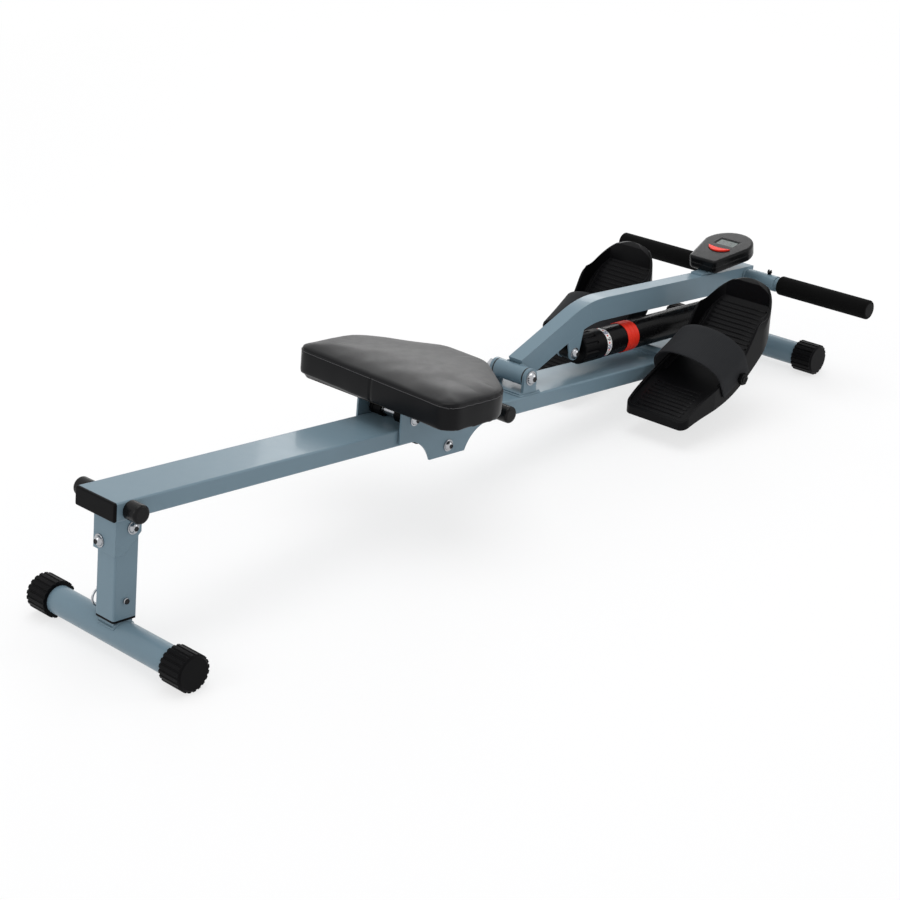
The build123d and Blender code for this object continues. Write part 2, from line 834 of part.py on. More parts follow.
with BuildPart() as whole_arm:
    add(arm_body.part)
    add(arm_core.part, mode=Mode.SUBTRACT)
    with BuildSketch(arm_mouth):
        Rectangle(arm_width, arm_height)
    extrude(amount=arm_wall)
    with BuildSketch(cross_plane(arm_tip, arm_bend_height)):
        Rectangle(arm_width, arm_height)
    extrude(amount=-arm_wall)
    with BuildSketch(side_plane()):
        with Locations((hinge_reach, hinge_height)):
            Circle(hinge_tube / 2)
        with Locations((handle_reach, handle_height)):
            Circle(t_tube_diameter / 2)
    extrude(amount=arm_width, both=True, mode=Mode.SUBTRACT)

arm_halves = {"arm_root": Keep.BOTTOM, "row_arm": Keep.TOP}
for node, half in arm_halves.items():
    with BuildPart() as arm_half:
        add(whole_arm.part)
        split(bisect_by=bend_middle, keep=half)
    finish(arm_half, node)

screw_plane = top_plane(handle_reach, handle_height)
with BuildPart() as t_tube:
    with BuildSketch(side_plane(handle_reach, handle_height)):
        Circle(t_tube_diameter / 2)
        Circle(handle_tube / 2, mode=Mode.SUBTRACT)
    extrude(amount=t_tube_half, both=True)
    with BuildSketch(screw_plane):
        with Locations((0, handle_screw_reach), (0, -handle_screw_reach)):
            Circle(handle_screw / 2)
    extrude(amount=t_tube_diameter, mode=Mode.SUBTRACT)
finish(t_tube, "t_tube")

for side_name, side in sides.items():
    with BuildPart() as handle_bar:
        with BuildSketch(side_plane(handle_reach, handle_height, side * handle_tube_inset)):
            Circle(handle_tube / 2)
            Circle(handle_tube / 2 - handle_tube_wall, mode=Mode.SUBTRACT)
        extrude(amount=-side * (grip_end - grip_plug - handle_tube_inset))
    finish(handle_bar, side_name + "_handle_tube")
    with BuildPart() as grip:
        with BuildSketch(side_plane(handle_reach, handle_height, side * grip_start)):
            Circle(grip_diameter / 2)
        extrude(amount=-side * (grip_end - grip_start))
        fillet(grip.edges().filter_by(GeomType.CIRCLE), grip_round)
        with BuildSketch(side_plane(handle_reach, handle_height, side * grip_start)):
            Circle(handle_tube / 2)
        extrude(amount=-side * (grip_end - grip_start), mode=Mode.SUBTRACT)
    finish(grip, side_name + "_grip")

with BuildPart() as grip_end_plugs:
    for side in sides.values():
        mouth = side_plane(handle_reach, handle_height, side * (grip_end - grip_plug))
        with BuildSketch(mouth):
            Circle(handle_tube / 2)
        extrude(amount=-side * grip_plug)
        with BuildSketch(mouth):
            Circle(handle_tube / 2 - handle_tube_wall)
        extrude(amount=side * 2 * grip_plug)
finish(grip_end_plugs, "grip_end_plugs")

with BuildPart() as handle_screws:
    with BuildSketch(screw_plane.offset(handle_tube / 2)):
        with Locations((0, handle_screw_reach), (0, -handle_screw_reach)):
            Circle(handle_screw / 2)
    extrude(amount=t_tube_diameter / 2 - handle_tube / 2 + handle_screw_height)
    fillet(handle_screws.faces().sort_by(Axis(rail_rear, above))[-2:].edges(), handle_screw_round)
finish(handle_screws, "handle_screws")

# Ears under the arm that carry the cylinder, and their bolt
eye_half = arm_width / 2 - cylinder_ear
ear_reach_up = arm_bend_height - eye_height
with BuildPart() as cylinder_ears:
    for side in sides.values():
        with BuildSketch(side_plane(eye_reach, eye_height, side * eye_half)):
            Circle(cylinder_ear_round)
            with BuildLine():
                Polyline(
                    (-cylinder_ear_round, 0),
                    (cylinder_ear_round, 0),
                    (cylinder_ear_foot, ear_reach_up),
                    (-cylinder_ear_foot, ear_reach_up * cylinder_ear_slant),
                    close=True,
                )
            make_face()
            Circle(cylinder_pin / 2 + cylinder_fit, mode=Mode.SUBTRACT)
        extrude(amount=-side * cylinder_ear)
    add(arm_body.part, mode=Mode.SUBTRACT)
finish(cylinder_ears, "cylinder_ears")

with BuildPart() as ear_bolt:
    add_bolt(across(eye_reach, eye_height), arm_width, cylinder_pin)
finish(ear_bolt, "ear_bolt")

# Hydraulic cylinder: local x runs from the eye on the arm to the rod's pin on the rail
eye_point = rail_point(eye_reach, eye_height)
rod_point = rail_point(rod_reach, rod_height)
cylinder_run = (rod_point - eye_point).length
cylinder_side = Plane(origin=eye_point, x_dir=rod_point - eye_point, z_dir=-left)
cylinder_axis = Axis(eye_point, rod_point - eye_point)
ring_start = dial_start + dial_length + dial_gap
barrel_start = ring_start + number_ring_length
barrel_end = barrel_start + barrel_length
barrel_radius = barrel_diameter / 2
bore_radius = barrel_radius - barrel_wall


def add_turned(start, end, outer, inner=0.0):
    """A turned ring or disc about the cylinder's axis."""
    with BuildSketch(cylinder_side) as profile:
        with Locations((start, inner)):
            Rectangle(end - start, outer - inner, align=(Align.MIN, Align.MIN))
    revolve(profile.sketch, axis=cylinder_axis)


with BuildPart() as cylinder_barrel:
    with BuildSketch(side_plane(eye_reach, eye_height)):
        Circle(eye_round)
    extrude(amount=eye_half - eye_side_gap, both=True)
    add_turned(0, barrel_start, stem_diameter / 2)
    add_turned(ring_start, barrel_start, number_ring_diameter / 2 - number_ring_wall)
    add_turned(barrel_start, barrel_start + barrel_head, barrel_radius)
    add_turned(barrel_start + barrel_head, barrel_end, barrel_radius, bore_radius)
    with BuildSketch(side_plane(eye_reach, eye_height)):
        Circle(cylinder_pin / 2 + cylinder_fit)
    extrude(amount=arm_width, both=True, mode=Mode.SUBTRACT)
finish(cylinder_barrel, "cylinder_barrel")

with BuildPart() as number_ring:
    ring_radius_outside = number_ring_diameter / 2
    add_turned(ring_start, barrel_start, ring_radius_outside, ring_radius_outside - number_ring_wall)
finish(number_ring, "number_ring")

with BuildPart() as cylinder_band:
    ring_pitch = band_length / band_rings
    for index in range(band_rings):
        start = barrel_start + band_start + index * ring_pitch
        add_turned(start, start + ring_pitch, barrel_radius + band_height / 2, barrel_radius)
        add_turned(start, start + ring_pitch * band_ring_share, barrel_radius + band_height, barrel_radius)
finish(cylinder_band, "cylinder_band")

with BuildPart() as cylinder_gland:
    add_turned(barrel_end - gland_length, barrel_end, bore_radius, gland_opening / 2)
finish(cylinder_gland, "cylinder_gland")

with BuildPart() as resistance_dial:
    dial_rear = Plane(
        origin=cylinder_side.from_local_coords(Vector(dial_start, 0, 0)),
        x_dir=left,
        z_dir=cylinder_side.x_dir,
    )
    with BuildSketch(dial_rear):
        Circle(dial_diameter / 2)
    extrude(amount=dial_length)
    fillet(resistance_dial.edges().filter_by(GeomType.CIRCLE).sort_by(cylinder_axis)[0], dial_flute)
    with BuildSketch(dial_rear):
        with PolarLocations(dial_diameter / 2 + dial_flute / 2, dial_flutes):
            Circle(dial_flute)
    extrude(amount=dial_flute_length, mode=Mode.SUBTRACT)
    with BuildSketch(dial_rear):
        Circle(stem_diameter / 2 + cylinder_fit)
    extrude(amount=dial_length, mode=Mode.SUBTRACT)
finish(resistance_dial, "resistance_dial")

# Piston rod, piston, and the bracket and pin that hold the rod on the rail
piston_front = barrel_end - gland_length - piston_travel_left
with BuildPart() as piston_rod:
    add_turned(piston_front, cylinder_run, rod_diameter / 2)
    with BuildSketch(side_plane(rod_reach, rod_height)):
        Circle(rod_eye_round)
    extrude(amount=rod_eye_width / 2, both=True)
    with BuildSketch(side_plane(rod_reach, rod_height)):
        Circle(cylinder_pin / 2 + cylinder_fit)
    extrude(amount=rod_eye_width, both=True, mode=Mode.SUBTRACT)
finish(piston_rod, "piston_rod")

with BuildPart() as piston:
    add_turned(piston_front - piston_length, piston_front, piston_diameter / 2)
finish(piston, "piston")

rod_ear_inner = rod_eye_width / 2 + rod_ear_gap
with BuildPart() as rod_bracket:
    rod_hole = cylinder_pin / 2 + cylinder_fit
    rod_base_length = 4 * rod_eye_round
    add_ears(rod_reach, rod_height, rod_ear_inner, rod_ear, rod_eye_round, rod_hole, rod_ear, rod_base_length)
finish(rod_bracket, "rod_bracket")

with BuildPart() as rod_pin:
    add_bolt(across(rod_reach, rod_height), 2 * (rod_ear_inner + rod_ear), cylinder_pin)
finish(rod_pin, "rod_pin")

# Monitor on top of the arm: a drop-shaped case that tilts towards the rower
tilt = radians(monitor_tilt)
case_face = Plane(
    origin=rail_point(monitor_reach, arm_top + monitor_lift + monitor_depth * cos(tilt)),
    x_dir=along * cos(tilt) + above * sin(tilt),
    z_dir=above * cos(tilt) - along * sin(tilt),
)
case_seam = case_face.offset(-monitor_cover_depth)
case_back = case_face.offset(-monitor_depth)
case_outward = Axis(case_face.origin, case_face.z_dir)

with BuildSketch() as case_plan:
    with BuildLine():
        far = monitor_length - monitor_half
        ThreePointArc((far, -monitor_half), (monitor_length, 0), (far, monitor_half))
        Polyline(
            (far, monitor_half),
            (0, monitor_near_half),
            (0, -monitor_near_half),
            (far, -monitor_half),
        )
    make_face()
    fillet(case_plan.vertices().group_by(Axis.X)[0], monitor_round)

with BuildPart() as case_hollow:
    with BuildSketch(case_back.offset(monitor_wall)):
        offset(case_plan.sketch, amount=-monitor_wall)
    extrude(amount=monitor_depth - 2 * monitor_wall)
    fillet(case_hollow.faces().sort_by(case_outward)[0].edges(), monitor_back_round - monitor_wall)

with BuildPart() as monitor_base:
    with BuildSketch(case_back):
        add(case_plan.sketch)
    extrude(amount=monitor_depth - monitor_cover_depth)
    fillet(monitor_base.faces().sort_by(case_outward)[0].edges(), monitor_back_round)
    add(case_hollow.part, mode=Mode.SUBTRACT)
finish(monitor_base, "monitor_base")

button_depth = monitor_wall + button_proud
board_face = monitor_wall + button_proud + button_travel + button_gap
with BuildSketch() as button_plan:
    with BuildLine():
        horn = button_near + button_length
        ThreePointArc((horn, -button_half), (button_near, 0), (horn, button_half))
        ThreePointArc((horn, button_half), (horn - button_length / 4, 0), (horn, -button_half))
    make_face()

post_spots = [(window_near - 2 * post_radius, side * post_half) for side in sides.values()]
with BuildPart() as monitor_cover:
    with BuildSketch(case_seam):
        add(case_plan.sketch)
    extrude(amount=monitor_cover_depth)
    fillet(monitor_cover.faces().sort_by(case_outward)[-1].edges(), monitor_edge)
    add(case_hollow.part, mode=Mode.SUBTRACT)
    with BuildSketch(case_face):
        with Locations((window_near + window_length / 2, 0)):
            Rectangle(window_length, 2 * window_half)
        add(button_plan.sketch)
    extrude(amount=-monitor_cover_depth, mode=Mode.SUBTRACT)
    with BuildSketch(case_face.offset(-monitor_wall)):
        with Locations(*post_spots):
            Circle(post_radius)
    extrude(amount=monitor_wall - board_face)
finish(monitor_cover, "monitor_cover")

with BuildPart() as monitor_window:
    with BuildSketch(case_face.offset(-window_depth)):
        with Locations((window_near + window_length / 2, 0)):
            Rectangle(window_length, 2 * window_half)
    extrude(amount=window_depth / 2)
finish(monitor_window, "monitor_window")

with BuildPart() as reset_button:
    with BuildSketch(case_face.offset(-button_depth)):
        offset(button_plan.sketch, amount=-button_gap)
    extrude(amount=button_depth + button_proud)
finish(reset_button, "reset_button")

with BuildPart() as monitor_board:
    with BuildSketch(case_face.offset(-board_face)):
        with Locations(((button_near + window_near + window_length) / 2, 0)):
            Rectangle(window_near + window_length - button_near, 2 * window_half)
    extrude(amount=-board_thickness)
finish(monitor_board, "monitor_board")

with BuildPart() as monitor_cell:
    cell_depth = monitor_depth - monitor_wall - cell_diameter / 2
    cell_middle = case_face.origin + case_face.x_dir * cell_near - case_face.z_dir * cell_depth
    with BuildSketch(Plane(origin=cell_middle, x_dir=along, z_dir=left)):
        Circle(cell_diameter / 2)
    extrude(amount=cell_length / 2, both=True)
finish(monitor_cell, "monitor_cell")

with BuildPart() as monitor_bracket:
    back_start = monitor_depth * sin(tilt)
    clip_end = monitor_clip_length - monitor_clip_width / 2
    with BuildSketch(side_plane(monitor_reach, arm_top)):
        with BuildLine():
            Polyline(
                (-monitor_clip_width / 2, 0),
                (clip_end, 0),
                (clip_end, monitor_lift + (clip_end - back_start) * tan(tilt)),
                (back_start, monitor_lift),
                (-monitor_clip_width / 2, monitor_lift),
                close=True,
            )
        make_face()
    extrude(amount=monitor_clip_width / 2, both=True)
finish(monitor_bracket, "monitor_bracket")

# Pedal axle across the rail
pedal_axle_height = pedal_axle_diameter / 2
axle_point = rail_point(pedal_axle_reach, pedal_axle_height)
pedal_inner = pedal_centre - pedal_width / 2
strap_outer = pedal_width / 2 + strap_clearance + strap_thickness
nut_start = pedal_centre + strap_outer + pedal_side_gap
with BuildPart() as pedal_axle:
    with BuildSketch(side_plane(pedal_axle_reach, pedal_axle_height)):
        Circle(pedal_axle_diameter / 2)
    extrude(amount=pedal_inner - pedal_side_gap, both=True)
    with BuildSketch(side_plane(pedal_axle_reach, pedal_axle_height)):
        Circle(pedal_journal / 2)
    extrude(amount=nut_start + pedal_nut_length, both=True)
    with BuildSketch(top_plane(pedal_axle_reach, 0)):
        Rectangle(pedal_axle_diameter, rail_width - 2 * rail_corner)
    extrude(amount=pedal_axle_height / 2)
finish(pedal_axle, "pedal_axle")

with BuildPart() as pedal_axle_nuts:
    for side in sides.values():
        with BuildSketch(side_plane(pedal_axle_reach, pedal_axle_height, side * nut_start)):
            RegularPolygon(pedal_nut / 2, 6, major_radius=False)
            Circle(pedal_journal / 2, mode=Mode.SUBTRACT)
        extrude(amount=-side * pedal_nut_length)
finish(pedal_axle_nuts, "pedal_axle_nuts")

# Pedals: a rockered tray with a raised toe box, drawn from the axle, and its strap
heel_rim = (-pedal_heel, pedal_heel_rim - pedal_heel_drop)
sole_start = (-pedal_heel, -pedal_heel_drop)
sole_end = (pedal_toe, pedal_toe_rise)
toe_top = (pedal_toe - pedal_toe_lean, pedal_toe_top)
headroom = 2 * pedal_toe_top

with BuildSketch() as tray_side:
    with BuildLine():
        Spline(sole_start, *pedal_sole_line, sole_end)
        Line(sole_end, toe_top)
        Spline(toe_top, *pedal_rim_line, heel_rim)
        Line(heel_rim, sole_start)
    make_face()

with BuildSketch() as foot_side:
    with BuildLine():
        bed = Spline(*pedal_bed_line)
        toe_wall = (pedal_bed_line[-1][0], headroom)
        Polyline(bed @ 1, toe_wall, (pedal_bed_line[0][0], headroom), bed @ 0)
    make_face()

with BuildSketch() as hollow_side:
    with BuildLine():
        lowered = [(x, z - pedal_bed_depth) for x, z in pedal_bed_line]
        roof = Spline(*lowered)
        Polyline(roof @ 1, (lowered[-1][0], -headroom), (lowered[0][0], -headroom), roof @ 0)
    make_face()
    with Locations((-pedal_hollow_heel, 0)):
        Rectangle(pedal_heel, 2 * headroom, align=(Align.MAX, Align.CENTER), mode=Mode.SUBTRACT)
    with Locations((pedal_hollow_toe, 0)):
        Rectangle(pedal_toe, 2 * headroom, align=(Align.MIN, Align.CENTER), mode=Mode.SUBTRACT)

with BuildSketch() as pedal_plan:
    with BuildLine():
        Polyline(
            (-pedal_heel, -pedal_heel_width / 2),
            (pedal_taper - pedal_heel, -pedal_width / 2),
            (pedal_toe, -pedal_width / 2),
            (pedal_toe, pedal_width / 2),
            (pedal_taper - pedal_heel, pedal_width / 2),
            (-pedal_heel, pedal_heel_width / 2),
            close=True,
        )
    make_face()
    fillet(pedal_plan.vertices().group_by(Axis.X)[0], pedal_heel_corner)
    fillet(pedal_plan.vertices().group_by(Axis.X)[-1], pedal_toe_corner)


with BuildSketch() as toe_view:
    Rectangle(pedal_width, 2 * pedal_toe_top)
    fillet(toe_view.vertices().group_by(Axis.Y)[-1], pedal_toe_arch)


def add_tray(plan_inset, side_sketch, upright, flat):
    """A pedal volume: a side outline across the pedal's width, trimmed to its plan."""
    with BuildSketch(upright) as outline:
        add(side_sketch.sketch)
    extrude(outline.sketch, amount=pedal_width, both=True)
    with BuildSketch(flat) as plan:
        offset(pedal_plan.sketch, amount=-plan_inset)
    extrude(plan.sketch, amount=headroom, both=True, mode=Mode.INTERSECT)


for side_name, side in sides.items():
    pedal_point = axle_point + left * side * pedal_centre
    tip = radians(pedal_tips[side_name])
    toeward = Vector(cos(tip), 0, sin(tip))
    upward = Vector(-sin(tip), 0, cos(tip))
    upright = Plane(origin=pedal_point, x_dir=toeward, z_dir=-left)
    flat = Plane(origin=pedal_point, x_dir=toeward, z_dir=upward)
    with BuildPart() as foot_space:
        add_tray(pedal_wall, foot_side, upright, flat)
    with BuildPart() as under_space:
        add_tray(pedal_wall, hollow_side, upright, flat)
    with BuildPart() as pedal:
        add_tray(0.0, tray_side, upright, flat)
        add(foot_space.part, mode=Mode.SUBTRACT)
        add(under_space.part, mode=Mode.SUBTRACT)
        with BuildSketch(Plane(origin=pedal_point, x_dir=left, z_dir=toeward)):
            add(toe_view.sketch)
        extrude(amount=headroom, both=True, mode=Mode.INTERSECT)
        with BuildSketch(upright):
            Circle(pedal_boss)
        extrude(amount=pedal_width / 2, both=True)
        with BuildSketch(upright):
            Circle(pedal_bush / 2)
        extrude(amount=pedal_width, both=True, mode=Mode.SUBTRACT)
    finish(pedal, side_name + "_pedal")
    with BuildPart() as pedal_bush_sleeve:
        with BuildSketch(upright):
            Circle(pedal_bush / 2)
            Circle(pedal_journal / 2 + pedal_fit, mode=Mode.SUBTRACT)
        extrude(amount=pedal_width / 2, both=True)
    finish(pedal_bush_sleeve, side_name + "_pedal_bush")
    lean = radians(strap_tilt)
    strap_start = pedal_point - toeward * strap_back + upward * strap_base
    strap_way = toeward * cos(lean) + upward * sin(lean)
    with BuildPart() as strap:
        with BuildSketch(Plane(origin=strap_start, x_dir=left, z_dir=strap_way)):
            Ellipse(strap_outer, strap_height)
            Ellipse(strap_outer - strap_thickness, strap_height - strap_thickness, mode=Mode.SUBTRACT)
            Rectangle(
                2 * strap_outer, 2 * strap_height, align=(Align.CENTER, Align.MAX), mode=Mode.SUBTRACT
            )
            with Locations((strap_thickness / 2 - strap_outer, 0), (strap_outer - strap_thickness / 2, 0)):
                Rectangle(strap_thickness, strap_tail, align=(Align.CENTER, Align.MAX))
        extrude(amount=strap_width)
        with BuildSketch(upright):
            Circle(pedal_axle_diameter / 2 + pedal_side_gap)
        extrude(amount=pedal_width, both=True, mode=Mode.SUBTRACT)
    finish(strap, side_name + "_strap")
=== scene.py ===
"""Dresses a low rowing machine: finishes, upholstery, pedal treads, straps, print, welds and studio."""

import json
import logging
import math
from contextlib import contextmanager
from dataclasses import dataclass, field
from enum import Enum
from typing import Any, Callable, Iterator, Sequence

import bmesh
import bpy
from mathutils import Matrix, Vector, noise
from mathutils.bvhtree import BVHTree


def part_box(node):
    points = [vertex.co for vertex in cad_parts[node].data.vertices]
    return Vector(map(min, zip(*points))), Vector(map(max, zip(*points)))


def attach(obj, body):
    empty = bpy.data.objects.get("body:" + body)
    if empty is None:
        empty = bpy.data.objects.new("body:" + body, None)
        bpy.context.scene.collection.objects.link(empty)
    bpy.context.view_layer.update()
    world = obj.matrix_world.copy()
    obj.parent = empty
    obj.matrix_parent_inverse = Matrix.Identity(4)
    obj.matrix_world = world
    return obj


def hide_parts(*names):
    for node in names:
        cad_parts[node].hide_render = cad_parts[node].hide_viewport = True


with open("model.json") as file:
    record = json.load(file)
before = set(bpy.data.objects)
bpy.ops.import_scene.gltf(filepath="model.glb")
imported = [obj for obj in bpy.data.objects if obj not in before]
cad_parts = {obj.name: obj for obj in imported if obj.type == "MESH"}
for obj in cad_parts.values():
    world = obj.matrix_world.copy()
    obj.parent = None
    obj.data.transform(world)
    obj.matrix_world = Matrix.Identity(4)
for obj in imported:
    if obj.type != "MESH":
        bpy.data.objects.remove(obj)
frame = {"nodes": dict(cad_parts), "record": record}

log = logging.getLogger("rowing_machine")

MM = 0.001
TINY = 1e-9
Piece = bpy.types.Object
Pair = tuple[float, float]
Triple = tuple[float, float, float]
Colour = Triple
Arc = tuple[float, float, float, float]

# The rail's own directions: along it, out of its top, and to the rower's left.
RAIL_PITCH = math.radians(7.5)
ALONG = Vector((math.cos(RAIL_PITCH), 0.0, -math.sin(RAIL_PITCH)))
ABOVE = Vector((math.sin(RAIL_PITCH), 0.0, math.cos(RAIL_PITCH)))
LEFT = Vector((0.0, 1.0, 0.0))
RAIL_REAR = Vector((-0.680743, 0.0, 0.217153))

# The cross axes, in millimetres forward along the rail and over its top.
REAR_AXLE, FRONT_AXLE, UNDER_AXLE = (507.0, 11.3), (654.0, 11.3), (580.5, -40.3)
HINGE, EAR, ROD_PIN = (760.0, 25.0), (885.0, 37.0), (1300.0, 45.0)
PEDAL_AXLE, HANDLE, FRONT_FOOT = (1095.0, 7.0), (1329.0, 100.0), (1362.0, -14.5)

# Half the width that a bolt holds together, and the diameters of the shanks, in millimetres.
AXLE_GRIP, HINGE_GRIP, EAR_GRIP, ROD_GRIP = 43.0, 34.3, 12.5, 12.4
M8, PIN, M10 = 8.0, 9.0, 10.0

# A direction counts as facing a way from this share of it on.
FACING = 0.9
SQUARE = ((-1, -1), (1, -1), (1, 1), (-1, 1), (-1, -1))


def rail_point(reach: float, height: float, aside: float = 0.0) -> Vector:
    """Gives a point by its place on the rail.

    Args:
        reach: Millimetres forward along the rail.
        height: Millimetres over the rail's top.
        aside: Millimetres to the rower's left.

    Returns:
        The point in metres.
    """
    return RAIL_REAR + (ALONG * reach + ABOVE * height + LEFT * aside) * MM


def place_at(origin: Vector, across: Vector, outward: Vector, stretch: Sequence[float] = (1, 1, 1)) -> Matrix:
    """Makes the matrix that sets a shape on a surface.

    Args:
        origin: Where the shape's own origin goes.
        across: Direction of the shape's x.
        outward: Direction of the shape's z.
        stretch: Scale along the shape's own three axes.

    Returns:
        The placing matrix.
    """
    z_axis = outward.normalized()
    y_axis = z_axis.cross(across).normalized()
    x_axis = y_axis.cross(z_axis)
    turned = Matrix((x_axis, y_axis, z_axis)).transposed().to_4x4()
    return Matrix.Translation(origin) @ turned @ Matrix.Diagonal((*stretch, 1.0))


def scale_to(sizes: Sequence[float]) -> Matrix:
    """Makes the matrix that gives a unit shape its three sizes in millimetres."""
    return Matrix.Diagonal((*(size * MM for size in sizes), 1.0))


def walk(points: Sequence[Vector], pitch: float) -> Iterator[tuple[Vector, Vector]]:
    """Steps along a line.

    Args:
        points: The line's corners.
        pitch: The length of a step.

    Returns:
        Each step's place, with the run that it is on.
    """
    spare = 0.0
    for start, end in zip(points, points[1:]):
        run = end - start
        while spare < run.length:
            yield start + run * (spare / run.length), run
            spare += pitch
        spare -= run.length


class Element(Enum):
    """What is picked in edit mode, with the name of its list."""

    VERT = "verts"
    EDGE = "edges"
    FACE = "faces"


class Shade(Enum):
    """How sharp an edge still looks smooth, in degrees."""

    CRISP = 35.0
    CLOTH = 40.0
    ROUND = 60.0
    SOFT = 80.0


class Bench:
    """Mesh work as by hand; every step starts from a clean selection."""

    @staticmethod
    def clear() -> None:
        """Leaves nothing selected."""
        bpy.ops.object.select_all(action="DESELECT")

    @staticmethod
    def only(piece: Piece) -> None:
        """Selects one piece and makes it active.

        Args:
            piece: The piece.
        """
        Bench.clear()
        piece.select_set(True)
        bpy.context.view_layer.objects.active = piece

    @staticmethod
    def take(name: str) -> Piece:
        """Names the active piece and its mesh, and gives it back."""
        bpy.context.object.name = bpy.context.object.data.name = name
        return bpy.context.object

    @staticmethod
    def add(name: str, primitive: Callable[..., Any], **sizes: Any) -> Piece:
        """Adds a primitive to start a piece from.

        Args:
            name: Name for the object and its mesh.
            primitive: The operator that adds it.
            sizes: What the operator is told.

        Returns:
            The new object.
        """
        Bench.clear()
        primitive(**sizes)
        return Bench.take(name)

    @staticmethod
    def block(name: str, sizes: Sequence[float]) -> Piece:
        """Makes a block of three sizes in millimetres."""
        return Bench.put(Bench.add(name, bpy.ops.mesh.primitive_cube_add, size=1.0), scale_to(sizes))

    @staticmethod
    def cylinder(name: str, sides: int, radius: float, depth: float, **more: Any) -> Piece:
        """Makes a cylinder with its sizes in millimetres, and tells the operator what more is given."""
        add = bpy.ops.mesh.primitive_cylinder_add
        return Bench.add(name, add, vertices=sides, radius=radius * MM, depth=depth * MM, **more)

    @staticmethod
    @contextmanager
    def editing(piece: Piece) -> Iterator[None]:
        """Opens edit mode and closes it again.

        Args:
            piece: The piece to edit.

        Returns:
            A context that lasts while it is edited.
        """
        Bench.only(piece)
        bpy.ops.object.mode_set(mode="EDIT")
        yield
        bpy.ops.object.mode_set(mode="OBJECT")

    @staticmethod
    def pick(piece: Piece, kind: Element, test: Callable[[Any], bool]) -> None:
        """Selects elements by their place or normal, in edit mode.

        Args:
            piece: The piece in edit mode.
            kind: Which elements to pick.
            test: Says which of them are wanted.
        """
        bpy.ops.mesh.select_mode(type=kind.name)
        bpy.ops.mesh.select_all(action="DESELECT")
        mesh = bmesh.from_edit_mesh(piece.data)
        for item in getattr(mesh, kind.value):
            if test(item):
                item.select_set(True)
        mesh.select_flush_mode()
        bmesh.update_edit_mesh(piece.data)

    @staticmethod
    def pick_top(piece: Piece, least: float = FACING) -> None:
        """Selects the faces that look up, in edit mode."""
        Bench.pick(piece, Element.FACE, lambda face: face.normal.z > least)

    @staticmethod
    def pick_all() -> None:
        """Selects the whole mesh, in edit mode."""
        bpy.ops.mesh.select_all(action="SELECT")

    @staticmethod
    def face_outward() -> None:
        """Turns all faces outward, in edit mode."""
        Bench.pick_all()
        bpy.ops.mesh.normals_make_consistent(inside=False)

    @staticmethod
    def pull(*step: float) -> None:
        """Extrudes what is selected by three lengths in millimetres."""
        bpy.ops.mesh.extrude_region_move(TRANSFORM_OT_translate={"value": [part * MM for part in step]})

    @staticmethod
    def modify(piece: Piece, kind: str, **settings: Any) -> None:
        """Adds a modifier, sets it and applies it.

        Args:
            piece: The piece to change.
            kind: The modifier's type.
            settings: Values for the modifier.
        """
        Bench.only(piece)
        modifier = piece.modifiers.new(kind.title(), kind)
        for key, value in settings.items():
            setattr(modifier, key, value)
        bpy.ops.object.modifier_apply(modifier=modifier.name)

    @staticmethod
    def round_off(piece: Piece, width: float) -> None:
        """Rounds a piece's sharp edges by a width in millimetres."""
        Bench.modify(piece, "BEVEL", width=width * MM, segments=2, limit_method="ANGLE")

    @staticmethod
    def put(piece: Piece, place: Matrix) -> Piece:
        """Moves a piece's mesh to its place and leaves the object at the origin.

        Args:
            piece: The piece to place.
            place: The placing matrix.

        Returns:
            The same piece.
        """
        piece.matrix_world = place
        Bench.only(piece)
        bpy.ops.object.transform_apply(location=True, rotation=True, scale=True)
        return piece

    @staticmethod
    def link(name: str, data: bpy.types.ID) -> Piece:
        """Puts a mesh, lamp or camera into the scene.

        Args:
            name: Name of the object.
            data: What it holds.

        Returns:
            The new object.
        """
        piece = bpy.data.objects.new(name, data)
        bpy.context.scene.collection.objects.link(piece)
        return piece

    @staticmethod
    def copy(seed: Piece, name: str, place: Matrix) -> Piece:
        """Copies a finished shape to a place.

        Args:
            seed: The shape.
            name: Name of the copy and of its own mesh.
            place: The placing matrix.

        Returns:
            The copy.
        """
        mesh = seed.data.copy()
        mesh.name = name
        mesh.transform(place)
        return Bench.link(name, mesh)

    @staticmethod
    def scatter(seed: Piece, places: Sequence[Matrix], name: str, keep: bool = False) -> Piece:
        """Copies one finished shape to every place as one piece.

        Args:
            seed: The shape.
            places: One matrix for each copy.
            name: Name of the new piece.
            keep: Whether the shape is needed again.

        Returns:
            The piece that holds all the copies.
        """
        gathered = bmesh.new()
        for place in places:
            copy = seed.data.copy()
            copy.transform(place)
            gathered.from_mesh(copy)
            bpy.data.meshes.remove(copy)
        mesh = bpy.data.meshes.new(name)
        gathered.to_mesh(mesh)
        gathered.free()
        if not keep:
            Bench.drop(seed)
        return Bench.link(name, mesh)

    @staticmethod
    def drop(seed: Piece) -> None:
        """Clears away a shape that has been copied."""
        bpy.data.objects.remove(seed)

    @staticmethod
    def join(pieces: Sequence[Piece], name: str) -> Piece:
        """Joins pieces into one.

        Args:
            pieces: The pieces, of which the first is kept.
            name: Name of the joined piece.

        Returns:
            The joined piece.
        """
        Bench.clear()
        for piece in pieces:
            piece.select_set(True)
        bpy.context.view_layer.objects.active = pieces[0]
        bpy.ops.object.join()
        return Bench.take(name)

    @staticmethod
    def soften(piece: Piece, shade: Shade = Shade.CRISP) -> None:
        """Shades a piece smooth up to an edge angle."""
        Bench.only(piece)
        bpy.ops.object.shade_smooth_by_angle(angle=math.radians(shade.value))

    @staticmethod
    def to_mesh(name: str) -> Piece:
        """Makes a mesh of the active curve or text."""
        bpy.ops.object.convert(target="MESH")
        return Bench.take(name)

